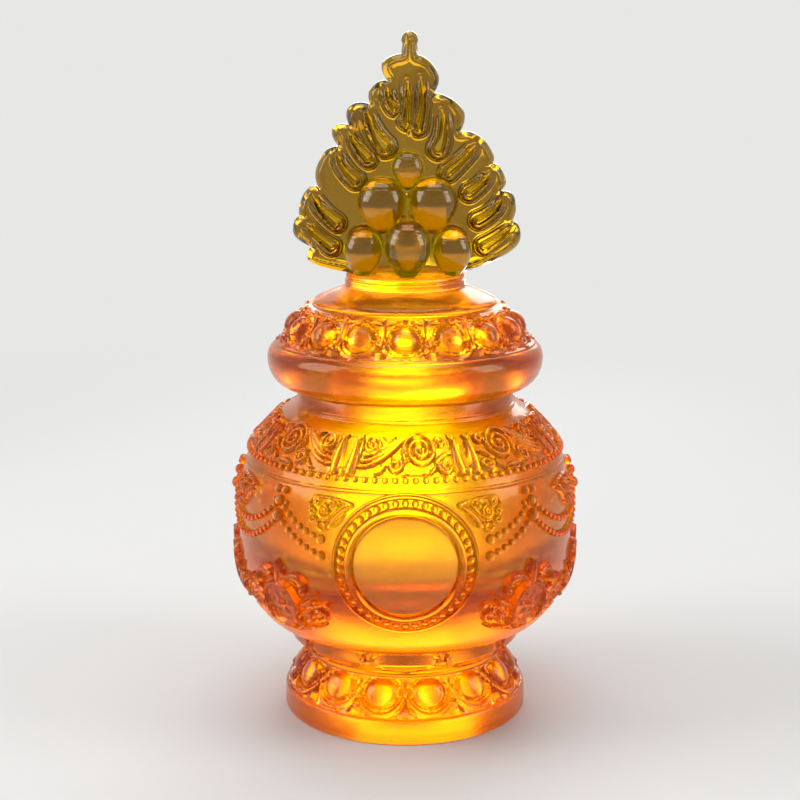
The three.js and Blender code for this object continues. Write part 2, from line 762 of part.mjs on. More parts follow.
function flameOutline() {
  const knob = [-150, -200, -240, -290, 30].map((angle) => new THREE.Vector2(
    knobX + knobRadius * cos(angle * degree),
    knobHeight + knobRadius * sin(angle * degree),
  ));
  return [...flameSide(leftTongues, -1), ...knob, ...flameSide(rightTongues, 1).reverse()];
}

// The plate is its outline at full size between two chamfers, closed by a flat face in front and behind
function flameHalo() {
  const outline = flameOutline();
  const count = outline.length;
  const drawnIn = outline.map((point, i) => {
    const before = outline[(i + count - 1) % count];
    const after = outline[(i + 1) % count];
    const along = after.clone().sub(before).normalize();
    return new THREE.Vector2(point.x + along.y * flameBevel * 0.5, point.y - along.x * flameBevel * 0.5);
  });
  const half = flameThickness / 2;
  const chamfer = half - flameBevel;
  const layers = [[drawnIn, -half], [outline, -chamfer], [outline, chamfer], [drawnIn, half]];
  const lift = (point, y) => new THREE.Vector3(point.x, y, flameZ + max(0, point.y));
  const points = layers.flatMap(([edge, y]) => edge.map((point) => lift(point, y)));
  const index = [];
  for (let layer = 0; layer < 3; layer++) {
    for (let i = 0; i < count; i++) {
      const [a, b] = [layer * count + i, layer * count + (i + 1) % count];
      index.push(a, b, b + count, a, b + count, a + count);
    }
  }
  for (const [a, b, c] of THREE.ShapeUtils.triangulateShape(drawnIn, [])) {
    index.push(a, b, c, 3 * count + a, 3 * count + c, 3 * count + b);
  }
  const geometry = new THREE.BufferGeometry().setFromPoints(points);
  geometry.setIndex(index);
  const ridges = [-1, 1].flatMap((side) => tongueGrooves.map((groove) => ridge(groove, side)));
  return fused([geometry, ...ridges]);
}

add(lidGroup, 'flame_halo', flameHalo(), deepGlass);

// Jewels: pear-shaped, round at the top and drawn in below, as [x, foot height, width, height, stand-off]
// in the same unit. The lowest ones stand on the plinth, which cuts off their foot.
const jewels = [
  [1, -2.6, 19.2, 25.8, 12.2],
  [-17.6, -2.4, 16.6, 21.8, 6.3],
  [19.6, -2.4, 16.6, 21.8, 6.3],
  [-9.8, 16.2, 20.6, 23.6, 3.7],
  [11.8, 16.2, 20.6, 23.6, 3.7],
  [1, 34.7, 14, 16.4, 4.6],
];
const jewelWidest = 0.57;
const jewelTaper = 1.7;
const jewelFullness = 0.75;

function jewel(sizes, side) {
  const [x, foot, width, height, standOff] = sizes.map((size) => size * flameUnit);
  const profile = [[0, 0]];
  for (const t of [0.03, 0.12, 0.25, 0.4, jewelWidest, 0.74, 0.87, 0.96]) {
    const below = max(0, 1 - t / jewelWidest);
    const above = max(0, t - jewelWidest) / (1 - jewelWidest);
    const share = (1 - below ** jewelTaper) ** jewelFullness * sqrt(1 - above * above);
    profile.push([width / 2 * share, height * t]);
  }
  profile.push([0, height]);
  const pear = turned(profile, 12);
  pear.translate(x, side * (flameThickness / 2 + standOff), flameZ + foot);
  const seated = toSolid(pear).trimByPlane([0, side, 0], flameThickness / 2 + seatGap);
  return toGeometry(seated.trimByPlane([0, 0, 1], flameZ));
}

jewels.forEach((shape, i) => {
  add(lidGroup, `front_jewel_${i + 1}`, jewel(shape, -1), clearGlass);
  add(lidGroup, `back_jewel_${i + 1}`, jewel(shape, 1), clearGlass);
});

const group = new THREE.Group();
group.add(vase, lidGroup);
export default group;
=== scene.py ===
"""Treasure vase of cast amber glass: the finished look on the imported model.

Sizes are in millimetres here and become metres when a piece is made. The front faces -Y.
Angles round the vase are in degrees, 0 at the front and 90 on the right (+X).
"""

import math
from contextlib import contextmanager

import bpy
import numpy as np
from mathutils.geometry import delaunay_2d_cdt
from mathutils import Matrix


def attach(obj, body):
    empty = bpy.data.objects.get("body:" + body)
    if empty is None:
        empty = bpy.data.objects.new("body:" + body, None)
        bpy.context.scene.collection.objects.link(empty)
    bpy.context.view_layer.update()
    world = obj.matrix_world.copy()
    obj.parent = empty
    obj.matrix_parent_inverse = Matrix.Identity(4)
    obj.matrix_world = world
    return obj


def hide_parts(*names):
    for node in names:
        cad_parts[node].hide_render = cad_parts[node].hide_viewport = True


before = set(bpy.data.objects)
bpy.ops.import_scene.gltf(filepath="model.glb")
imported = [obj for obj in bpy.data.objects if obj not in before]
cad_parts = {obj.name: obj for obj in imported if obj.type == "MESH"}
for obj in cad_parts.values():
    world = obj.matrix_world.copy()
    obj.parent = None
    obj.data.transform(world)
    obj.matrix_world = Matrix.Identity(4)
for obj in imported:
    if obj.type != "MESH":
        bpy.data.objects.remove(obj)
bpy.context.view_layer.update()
bpy.ops.object.select_all(action="DESELECT")

MM = 0.001
VIEW_PITCH = 12.0

# Heights and radii of the casting, as the solids have them
FOOT_RADIUS = 43.5
BOWL_FOOT = 33.3
BOWL_BASE = 42.5
BELLY = 59.4
BARREL = 64.3
UPPER_BOWL = 76.3
SHOULDER = 98.3
SHOULDER_RADIUS = 54.0
NECK_FOOT = 108.3
MOUTH = 117.7
NECK_RADIUS = 38.1
BORE = 33.0
LID_FOOT = 118.0
PLINTH_RADIUS = 21.0
FLAME_FOOT = 158.0
FLAME_FOOT_HALF = 20.5
FLAME_HEIGHT = 82.1

# How far under the flame's foot the flame and the jewels end, just inside the top of the plinth
SEAT = 0.4

# Degrees from one bay of ornament to the next, the step between points of a skin that is raised,
# the distance in metres within which points are one, and the triangles that the body is brought down to
BAY = 45.0
SKIN_STEP = 0.42
WELD = 1e-7
MOST_TRIANGLES = 196000

# Steps that the turned pieces go round in
FOOT_STEPS = 420
BOWL_STEPS = 288
LID_STEPS = 480
FRAME_STEPS = 180
LENS_STEPS = 128
JEWEL_STEPS = 72
STEM_STEPS = 16
FLOOR_STEPS = 96


def take(piece):
    """Makes the piece the one that the next operators work on."""
    bpy.ops.object.select_all(action="DESELECT")
    piece.select_set(True)
    bpy.context.view_layer.objects.active = piece


def places(piece):
    """The mesh's points as an array, in millimetres."""
    count = len(piece.data.vertices)
    points = np.empty(count * 3)
    piece.data.vertices.foreach_get("co", points)
    return points.reshape(-1, 3) / MM


def place(piece, points):
    """Gives the mesh's points new places, in millimetres."""
    piece.data.vertices.foreach_set("co", (points * MM).ravel())
    piece.data.update()


@contextmanager
def editing(piece):
    """Edit mode, with everything on the piece selected."""
    take(piece)
    bpy.ops.object.mode_set(mode="EDIT")
    bpy.ops.mesh.select_all(action="SELECT")
    yield
    bpy.ops.object.mode_set(mode="OBJECT")


def apply(piece, kind, **settings):
    """Adds a modifier, sets it and applies it."""
    take(piece)
    modifier = piece.modifiers.new(kind.lower(), kind)
    for name, value in settings.items():
        setattr(modifier, name, value)
    bpy.ops.object.modifier_apply(modifier=modifier.name)


def turned(name, profile, steps):
    """Draws a profile of (radius, height) point by point and turns it once round the axis."""
    start = profile[0]
    bpy.ops.mesh.primitive_plane_add(size=MM, location=(0, 0, 0))
    piece = bpy.context.object
    piece.name = piece.data.name = name
    with editing(piece):
        bpy.ops.mesh.merge(type="CENTER")
        bpy.ops.transform.translate(value=(start[0] * MM, 0, start[1] * MM))
        for here, there in zip(profile, profile[1:]):
            step = ((there[0] - here[0]) * MM, 0, (there[1] - here[1]) * MM)
            bpy.ops.mesh.extrude_region_move(TRANSFORM_OT_translate={"value": step})
    apply(piece, "SCREW", steps=steps, render_steps=steps, angle=2 * math.pi, axis="Z",
          use_merge_vertices=True, merge_threshold=WELD)
    return face_out(piece)


def face_out(piece):
    """Merges points that coincide and turns all faces outwards."""
    with editing(piece):
        bpy.ops.mesh.remove_doubles(threshold=WELD)
        bpy.ops.mesh.normals_make_consistent(inside=False)
    return piece


def fuse(body, ornament):
    """Casts an ornament in one with the body."""
    apply(body, "BOOLEAN", operation="UNION", solver="MANIFOLD", object=ornament)
    bpy.data.objects.remove(ornament)


def from_faces(name, points, faces):
    """A new piece of points in millimetres and faces."""
    mesh = bpy.data.meshes.new(name)
    mesh.from_pydata(points * MM, [], faces)
    piece = bpy.data.objects.new(name, mesh)
    bpy.context.scene.collection.objects.link(piece)
    return piece


class Wall:
    """An outline of (radius, height) points from the bottom up, measured along its length."""

    def __init__(self, outline):
        self.points = np.array(outline, float)
        steps = np.diff(self.points, axis=0)
        self.along = np.concatenate([[0], np.cumsum(np.hypot(*steps.T))])
        self.length = self.along[-1]

    def at(self, along):
        """The radius and the height at a length up the wall."""
        radius = np.interp(along, self.along, self.points[:, 0])
        height = np.interp(along, self.along, self.points[:, 1])
        return radius, height

    def of_height(self, height):
        """The length up the wall at a height."""
        return np.interp(height, self.points[:, 1], self.along)

    def lifted(self, azimuth, along, lift):
        """Points at an angle in radians round the vase and a length up the wall, lifted off it."""
        step = 0.6
        radius, height = self.at(along)
        radius_above, height_above = self.at(along + step)
        radius_below, height_below = self.at(along - step)
        across, up = radius_above - radius_below, height_above - height_below
        length = np.hypot(across, up)
        out = radius + lift * up / length
        return np.stack([out * np.sin(azimuth), -out * np.cos(azimuth), height - lift * across / length], -1)


def relief(name, azimuth, height, size, cell, field, flip=1, lowest=None):
    """A patch of relief on the bowl: a fine grid raised by field(across, up), with its root in the glass.

    Up is 0 at the height, which is the middle of the patch unless lowest says where its lower edge is.
    """
    root = 2.5
    wide, tall = size
    shift = 0 if lowest is None else lowest + tall / 2
    bpy.ops.mesh.primitive_grid_add(x_subdivisions=round(wide / cell), y_subdivisions=round(tall / cell),
                                    size=1)
    piece = bpy.context.object
    piece.name = piece.data.name = name
    with editing(piece):
        bpy.ops.transform.resize(value=(wide * MM, tall * MM, 1))
        bpy.ops.mesh.extrude_region_move(TRANSFORM_OT_translate={"value": (0, 0, MM)})
    points = places(piece)
    across, up, top = points[:, 0], points[:, 1] + shift, points[:, 2] > 0.5
    middle = bowl_wall.of_height(height)
    radius = bowl_wall.at(middle)[0]
    lift = np.where(top, field(across * flip, up), -root)
    place(piece, bowl_wall.lifted(math.radians(azimuth) + across / radius, middle + up, lift))
    return face_out(piece)


# Drawing of relief: each gives the height of a form over a grid of points, or SUNK outside it
SUNK = -0.6
FAR = 99.0


def over(*forms):
    """The highest of the forms at each point."""
    return np.maximum.reduce(forms)


def crown(level, rise):
    """A round crown wherever level is under 1."""
    return np.where(level < 1, rise * np.sqrt(np.maximum(0, 1 - level ** 2)), SUNK)


def dome(x, y, middle, reach, rise, squash=1.0, base=0.0):
    """A round or oval boss."""
    away = ((x - middle[0]) / reach) ** 2 + ((y - middle[1]) / (reach * squash)) ** 2
    return np.where(away < 1, base + rise * np.sqrt(np.maximum(0, 1 - away)), SUNK)


def ring(x, y, middle, reach, width, rise):
    """A raised ring round a middle."""
    return crown(abs(np.hypot(x - middle[0], y - middle[1]) - reach) / width, rise)


def cup(across, up, wide, tall):
    """How far out a point is in a border that is round below its middle and straight above: 1 is on it."""
    return np.where(up < 0, np.hypot(across / wide, up / tall), abs(across) / wide)


def border(level, wide, half, rise):
    """A raised round border along the line where level is 1."""
    return crown(abs(level - 1) * wide / half, rise)


def stretches(x, y, path):
    """For each stretch of a path: its number, how far along it each point lies, and how far off it."""
    path = np.array(path, float)
    for number, ((ax, ay), (bx, by)) in enumerate(zip(path, path[1:])):
        length = (bx - ax) ** 2 + (by - ay) ** 2 + 1e-12
        share = np.clip(((x - ax) * (bx - ax) + (y - ay) * (by - ay)) / length, 0, 1)
        yield number, share, np.hypot(x - ax - share * (bx - ax), y - ay - share * (by - ay))


def nearness(x, y, path, widths):
    """For each point, its distance to a drawn path as a share of the path's own width there."""
    best = np.full(x.shape, FAR)
    widths = np.interp(np.linspace(0, 1, len(path)), np.linspace(0, 1, len(widths)), widths)
    for i, share, away in stretches(x, y, path):
        best = np.minimum(best, away / (widths[i] + share * (widths[i + 1] - widths[i])))
    return best


def strand(x, y, path, widths, rise):
    """A raised round strand along a path, whose widths taper along it."""
    return crown(nearness(x, y, path, widths), rise)


def drawn(x, y, strands, bosses):
    """The forms of all strands, as (path, widths, rise), and bosses, as (middle, reach, rise)."""
    return [strand(x, y, *form) for form in strands] + [dome(x, y, *form) for form in bosses]


def trace(x, y, path):
    """For each point, its distance to a drawn path, and how far along the path that is, from 0 to 1."""
    best, along = np.full(x.shape, FAR), np.zeros(x.shape)
    for i, share, away in stretches(x, y, path):
        along = np.where(away < best, (i + share) / (len(path) - 1), along)
        best = np.minimum(best, away)
    return best, along


def eased(value, low, high):
    """Rises smoothly from 0 at low to 1 at high."""
    share = np.clip((value - low) / (high - low), 0, 1)
    return share * share * (3 - 2 * share)


def curve(*points, count):
    """A smooth path from a start to an end, drawn towards the pulls between them."""
    points = [np.array(point, float) for point in points]
    path = []
    for t in np.linspace(0, 1, count):
        level = points
        while len(level) > 1:
            level = [a + (b - a) * t for a, b in zip(level, level[1:])]
        path.append(level[0])
    return path


def spiral(middle, start, end, first, turns, count):
    """A spiral path from one reach to another; first is the angle in degrees where it starts."""
    t = np.linspace(0, 1, count)
    reach = start + (end - start) * t
    angle = np.radians(first) + turns * 2 * np.pi * t
    return np.stack([middle[0] + reach * np.cos(angle), middle[1] + reach * np.sin(angle)], -1)


# Outline of the bowl and the foot
def bowl_radius(height):
    """The bowl's radius at a height: a quarter of an oval up to the barrel, then straight, then drawn in."""
    if height < BARREL:
        fall = min(1, (BARREL - height) / (BARREL - BOWL_FOOT))
        return BOWL_BASE + (BELLY - BOWL_BASE) * math.sqrt(1 - fall * fall)
    rise = max(0, (height - UPPER_BOWL) / (SHOULDER - UPPER_BOWL))
    return BELLY - (BELLY - SHOULDER_RADIUS) * rise * rise


bowl_wall = Wall([(bowl_radius(z), z) for z in np.arange(BOWL_FOOT, SHOULDER + 0.01, 0.5)])
cone_wall = Wall([(SHOULDER_RADIUS + 1.2, SHOULDER - 1.2), (44.2, NECK_FOOT), (43.0, NECK_FOOT + 1.2)])


def rounded(points, step):
    """A profile with a point at least every step."""
    path = []
    for (r0, z0), (r1, z1) in zip(points, points[1:]):
        count = max(1, round(math.hypot(r1 - r0, z1 - z0) / step))
        path += [(r0 + (r1 - r0) * i / count, z0 + (z1 - z0) * i / count) for i in range(count)]
    return path + [tuple(points[-1])]


def arc(middle, reach, start, end, count):
    """Points of a round of a profile; reach may be (across, up)."""
    across, up = reach if isinstance(reach, tuple) else (reach, reach)
    return [(middle[0] + across * math.cos(math.radians(a)), middle[1] + up * math.sin(math.radians(a)))
            for a in np.linspace(start, end, count)]


def raise_ring(piece, wall, field):
    """Raises a turned piece's skin over a wall by field(angle, along, radius)."""
    edge, least = 0.05, 30
    points = places(piece)
    radius = np.hypot(points[:, 0], points[:, 1])
    azimuth = np.arctan2(points[:, 0], -points[:, 1])
    low, high = wall.points[0, 1] + edge, wall.points[-1, 1] - edge
    on = (points[:, 2] > low) & (points[:, 2] < high) & (radius > least)
    along = wall.of_height(points[on, 2])
    points[on] = wall.lifted(azimuth[on], along, field(azimuth[on], along, radius[on]))
    place(piece, points)


def petal_turns(azimuth, count, radius, start=0.0):
    """How far round each point is from the middle of its petal, and from the middle of the gap beside it."""
    share = 2 * math.pi / count
    turn = azimuth / share - start
    across = (turn - np.round(turn)) * share * radius
    between = (turn - np.floor(turn) - 0.5) * share * radius
    return across, between


# Lotus petals of the foot and of the collar above it
FOOT_PETALS = 14
COLLAR_PETALS = 10
foot_slope = Wall([(41.9, 8.9), (40.2, 11.2), (38.0, 13.9), (36.2, 16.4), (34.9, 18.8), (34.4, 20.6)])
collar_slope = Wall([(34.9, 23.2), (35.6, 24.2), (37.3, 25.4), (39.3, 26.6), (40.6, 28), (41.0, 30),
                     (41.3, 32.6), (43.6, 33.4), (46.6, 35.0), (49.4, 37.2), (50.8, 38.6)])


def foot_petals(azimuth, along, radius):
    """Each petal is a boss in a ring and a wide lip; pointed tips peek out between the petals."""
    across, between = petal_turns(azimuth, FOOT_PETALS, radius, 0.5)
    middle, tip_top = 8.8, 5.6
    ring_wide, ring_tall = 6.5, 6.2
    lip_wide, lip_tall = 8.0, 7.9
    up = along - middle
    tip = 3.1 * np.clip((tip_top - along) / 5.2, 0.01, 1)
    lip = 0.55 + 0.55 * np.clip(-up / lip_tall, 0, 1)
    forms = [
        dome(across, up, (0, 0), 5.7, 2.6, 0.92, 0.15),
        border(np.hypot(across / ring_wide, up / ring_tall), ring_wide, 0.42, 0.85),
        border(cup(across, up, lip_wide, lip_tall), lip_wide, lip, 1.25),
        np.where(along < tip_top, 1.9 * np.clip(1 - abs(between) / tip, 0, 1), SUNK),
    ]
    fade = np.clip(along / 0.5, 0, 1) * np.clip((foot_slope.length - along) / 0.9, 0, 1)
    return np.maximum(0, over(*forms)) * fade


def collar_petals(azimuth, along, radius):
    """Upright petals under the bowl, pointed at the foot, with a thin raised rim and leaves behind them."""
    across, between = petal_turns(azimuth, COLLAR_PETALS, radius)
    top = 11.9
    rise = np.clip((along - 1.0) / 8.4, 0, 1)
    corner = np.clip((along - 9.4) / 2.3, 0, 1)
    half = 12.3 * (1 - (1 - rise) ** 1.75) - 2.6 * (1 - np.sqrt(np.maximum(0, 1 - corner ** 2)))
    inside = half - abs(across)
    soft = np.clip(inside / 2.2, 0, 1)
    petal = 0.55 * np.sqrt(soft * (2 - soft)) + 0.85 * np.exp(-((inside - 0.75) / 0.5) ** 2)
    behind = 9.0 * (1 - np.clip((along - 0.5) / 8.6, 0, 1)) - abs(between)
    leaf = 0.4 * np.clip(behind / 0.6, 0, 1) + 0.3 * np.exp(-((behind - 0.5) / 0.4) ** 2)
    lift = np.where(inside > 0, petal, np.where(behind > 0, leaf, 0))
    return np.where(along > top, -0.8, lift * np.clip(along / 1.2, 0, 1))


def vase_foot():
    """The lotus foot with its collar, as one solid that reaches into the bowl."""
    profile = [(0, 0), (30, 0), (42.4, 0), (43.2, 0.25), (FOOT_RADIUS, 0.9)]
    profile += rounded([(FOOT_RADIUS, 1.6), (FOOT_RADIUS, 7.2)], 1.9)
    profile += arc((42.3, 7.6), 1.2, 20, 90, 6) + [(42.0, 8.8)]
    profile += rounded(foot_slope.points, SKIN_STEP)
    profile += [(34.2, 21.2), (34.4, 21.9), (34.6, 22.5)]
    profile += rounded(collar_slope.points, SKIN_STEP)
    profile += [(48, 39.4), (30, 39.6), (0, 39.6)]
    foot = turned("foot", profile, FOOT_STEPS)
    raise_ring(foot, foot_slope, foot_petals)
    raise_ring(foot, collar_slope, collar_petals)
    return foot


def bowl_shell():
    """The hollow bowl with its shoulder and neck, open at the mouth."""
    heights = list(BARREL - (BARREL - BOWL_FOOT) * np.cos(np.linspace(0, np.pi / 2, 17)))
    heights += list(np.linspace(BARREL + 3, 91.4, 9))
    outer = [(bowl_radius(z), z) for z in heights]
    ledge = bowl_radius(92)
    outer += [(ledge, 91.9), (ledge - 0.25, 92.3), (ledge - 0.85, 92.6), (ledge - 1.0, 93.1),
              (ledge - 0.75, 93.7), (55.2, 95), (54.7, 96.6), (SHOULDER_RADIUS, SHOULDER)]
    outer += [(49.1, 103.2), (44.4, 108.0), (44.5, 108.6), (44.1, 109.1), (43.2, 109.5), (41.6, 110.2),
              (40.2, 110.9), (39.3, 111.4), (38.85, 111.5), (38.7, 111.8), (38.95, 112.1), (38.8, 112.6),
              (38.3, 112.9), (NECK_RADIUS, 113.4), (NECK_RADIUS, 115.3), (NECK_RADIUS, 117.0), (37.8, 117.5),
              (37.3, MOUTH)]
    inner = [(33.7, MOUTH), (33.2, 117.4), (BORE, 116.8), (BORE, 112), (33.2, 109), (34.2, 106.4),
             (36.6, 103.8), (40, 100.6), (43.4, 97.4), (46.4, 94), (48.7, 90), (50.4, 85.4), (51.5, 80.4)]
    inner += arc((0, BARREL + 6), (51.9, 28.0), 0, -90, 22)
    under = [(0, BOWL_FOOT + 2.4), (30, BOWL_FOOT + 2.4), (40, BOWL_FOOT + 1)]
    return turned("bowl", under + outer + inner[:-1] + [(0, inner[-1][1])], BOWL_STEPS)


def pearl_mesh(name, spots, segments=10, rings=6):
    """Pearls at spots of (point, radius): one is made, and the rest are copies of it."""
    bpy.ops.mesh.primitive_uv_sphere_add(segments=segments, ring_count=rings, radius=MM)
    pearl = bpy.context.object
    shape = places(pearl)
    faces = [tuple(face.vertices) for face in pearl.data.polygons]
    bpy.data.objects.remove(pearl)
    points = np.concatenate([np.array(spot) + shape * reach for spot, reach in spots])
    index = [tuple(v + i * len(shape) for v in face) for i in range(len(spots)) for face in faces]
    return from_faces(name, points, index)


# Roundels, the ringed lenses on the front and the back
ROUNDEL = 69.4
ROUNDEL_SQUASH = 0.96
LENS_EDGE = 17.3
PEARL_REACH = 21.6
RING_PEARLS = 42
RING_PEARL = 1.3


def round_patch(name, azimuth, rings, sides, field, root, hole=0.0):
    """A round patch of relief on the bowl: rings of points raised by field(reach), closed by its root."""
    profile = [(reach, field(reach)) for reach in rings] + [(rings[-1], -root), (hole, -root)]
    if hole:
        profile.insert(0, (hole, -root))
    piece = turned(name, profile, sides)
    points = places(piece)
    middle = bowl_wall.of_height(ROUNDEL)
    radius = bowl_wall.at(middle)[0]
    up = middle + points[:, 1] * ROUNDEL_SQUASH
    place(piece, bowl_wall.lifted(math.radians(azimuth) + points[:, 0] / radius, up, points[:, 2]))
    return face_out(piece)


def frame_height(reach):
    """How high the ring round a lens stands at a distance from its middle."""
    outline = [(17.45, 0.4), (17.7, 1.1), (18.1, 1.8), (18.7, 2.25), (19.3, 2.3), (19.8, 2.0), (20.15, 1.4),
               (20.35, 0.5), (20.5, 0.25), (22.75, 0.25), (22.85, 0.9), (23.0, 1.6), (23.3, 2.05),
               (23.7, 2.15), (24.0, 1.9), (24.2, 1.45), (24.4, 1.2), (24.65, 1.25), (24.9, 0.95),
               (25.15, 0.1), (25.2, -0.6)]
    return float(np.interp(reach, *zip(*outline)))


def roundel_frame(azimuth):
    """The ring round a lens, and the pearls that lie in it."""
    rings = [17.5, 17.7, 17.9, 18.1, 18.4, 18.7, 19.0, 19.3, 19.55, 19.8, 20.0, 20.15, 20.25, 20.35, 20.5,
             21.6, 22.75, 22.85, 22.95, 23.1, 23.3, 23.5, 23.7, 23.9, 24.05, 24.2, 24.4, 24.55, 24.75, 24.9,
             25.05, 25.15, 25.2]
    body = round_patch("frame", azimuth, rings, FRAME_STEPS, frame_height, 2.6, hole=17.45)
    middle = bowl_wall.of_height(ROUNDEL)
    spots = []
    for i in range(RING_PEARLS):
        angle = 2 * math.pi * (i + 0.5) / RING_PEARLS
        spot = bowl_wall.lifted(math.radians(azimuth) + PEARL_REACH * math.cos(angle) / BELLY,
                                middle + PEARL_REACH * math.sin(angle) * ROUNDEL_SQUASH, 1.0)
        spots.append((spot, RING_PEARL))
    return body, pearl_mesh("roundel_pearls", spots, 12, 8)


def roundel_lens(name, azimuth):
    """The polished lens in a roundel."""
    rings = [0.0] + list(np.linspace(1.2, 16.2, 16)) + [16.7, 17.0, 17.2, LENS_EDGE]

    def swell(reach):
        edge = min(1.0, (LENS_EDGE - reach) / 0.9)
        return 0.9 + 1.725 * (1 - (reach / LENS_EDGE) ** 2) + 0.55 * math.sqrt(max(0, edge * (2 - edge)))
    return round_patch(name, azimuth, rings, LENS_STEPS, swell, -0.06)


def shoulder_scrolls(x, y):
    """Scrolls of the shoulder band: one bay of it, about 39 wide and 14 high."""
    big, left, half_tall = (4.9, 1.7), (-11.6, 3.1), 7.0
    strands = [
        (spiral(big, 5.9, 0.9, 215, -2.4, 84), [0.75, 0.9, 0.85, 0.7], 1.75),
        (spiral(left, 3.2, 0.7, -70, 1.7, 48), [0.6, 0.8, 0.75, 0.6], 1.7),
        (spiral((-3.2, -3.3), 2.5, 0.5, 110, -1.5, 40), [0.7, 0.8, 0.75, 0.55], 1.65),
        (spiral((12.6, -4.0), 2.3, 0.5, 140, 1.45, 36), [0.7, 0.8, 0.7, 0.5], 1.65),
        (spiral((12.2, 4.2), 1.9, 0.4, 210, -1.3, 30), [0.65, 0.75, 0.7, 0.5], 1.6),
        (curve((9.6, -2.6), (12.4, 0.6), (15.0, 0.2), count=10), [0.6, 0.95, 0.4], 1.5),
        (curve((-0.8, -6.4), (2.6, -4.6), (6.4, -6.3), count=10), [0.4, 1.0, 0.4], 1.4),
        (curve((7.2, -6.2), (9.2, -4.6), (9.4, -3.2), count=8), [0.4, 0.8, 0.35], 1.4),
        (curve((-9.4, -6.2), (-7.2, -5.6), (-6.2, -3.4), count=8), [0.4, 0.8, 0.35], 1.4),
        (curve((-8.0, 6.1), (-5.2, 4.6), (-3.4, 6.2), count=8), [0.4, 0.85, 0.35], 1.4),
        (curve((-15.4, 5.8), (-14.9, 2.6), (-15.2, -0.6), count=8), [0.35, 0.7, 0.3], 1.3),
    ]
    for lift in (0.0, 1.9, 3.8):
        strands.append((curve((-15.0 + lift * 0.35, -4.2 + lift), (-9.5, -4.0 + lift), (-5.6, 0.2 + lift),
                              (-1.6, 4.4 + lift * 0.4), (1.0, 6.4 - lift * 0.1), count=22),
                        [0.45, 0.8, 0.85, 0.7, 0.4], 1.6))
    bosses = [(big, 0.95, 1.9), (left, 0.8, 1.7)]
    for side in (-1, 1):
        strands += [(curve((side * 17.2, -5.4), (side * 16.6, -1), (side * 17.0, 3.9), count=12),
                     [1.75, 1.9, 1.6, 0.95], 2.1),
                    (curve((side * 15.2, 6.4), (side * 16.2, 4.2), (side * 18.4, 6.2), count=8),
                     [0.3, 0.75, 0.3], 1.3)]
        bosses.append(((side * 19.6, -5.6), 1.0, 1.3, 1.3))
    ground = np.where(abs(y) < half_tall, 0.0, SUNK)
    return over(*drawn(x, y, strands, bosses), ground)


def pendant_scrolls(x, y):
    """A ringed spiral in a leaf of curls, drawn for the pendant on the right of the front roundel."""
    strands = [
        (spiral((2.2, 0.5), 2.2, 0.5, 100, 1.6, 44), [0.5, 0.6, 0.55, 0.5], 1.9),
        (curve((-7.4, 3.6), (-3.6, 5.0), (0.4, 4.6), (4.6, 6.2), (7.0, 5.2), (7.4, 2.6), count=22),
         [0.7, 0.6, 0.6, 0.7, 0.8, 0.6], 1.7),
        (curve((-6.6, 2.6), (-3.4, 0.6), (-0.8, -3.4), count=12), [0.7, 0.95, 0.8], 2.0),
        (curve((-3.6, 2.9), (-1.6, 0.8), (0.4, -1.6), (2.8, -1.8), count=14), [0.4, 0.55, 0.6, 0.5], 1.6),
        (spiral((-0.9, 3.0), 1.15, 0.35, 200, -1.1, 20), [0.5, 0.55, 0.45], 1.6),
        (spiral((4.6, 3.4), 1.3, 0.4, -30, 1.2, 22), [0.5, 0.6, 0.5], 1.7),
        (spiral((6.1, 0.4), 1.3, 0.4, 60, -1.1, 22), [0.55, 0.6, 0.5], 1.6),
        (spiral((5.6, -2.3), 1.5, 0.4, 60, -1.1, 22), [0.55, 0.7, 0.5], 1.7),
        (spiral((2.0, -4.2), 1.9, 0.5, 30, -1.15, 26), [0.6, 0.75, 0.55], 1.9),
        (spiral((-0.7, -3.4), 1.1, 0.35, 20, -1.0, 18), [0.45, 0.55, 0.4], 1.5),
    ]
    bosses = [((2.2, 0.5), 0.7, 2.0), ((2.0, -4.1), 0.8, 1.7), ((-7.3, 3.2), 1.0, 1.7)]
    edge = 1 - ((x - 1.2) / 7.0) ** 2 - np.where(y > 1.2, ((y - 1.2) / 4.6) ** 2, ((y - 1.2) / 6.4) ** 2)
    leaf = np.where(edge > 0, 0.5 * np.sqrt(np.maximum(0, edge)), SUNK)
    return over(*drawn(x, y, strands, bosses), leaf)


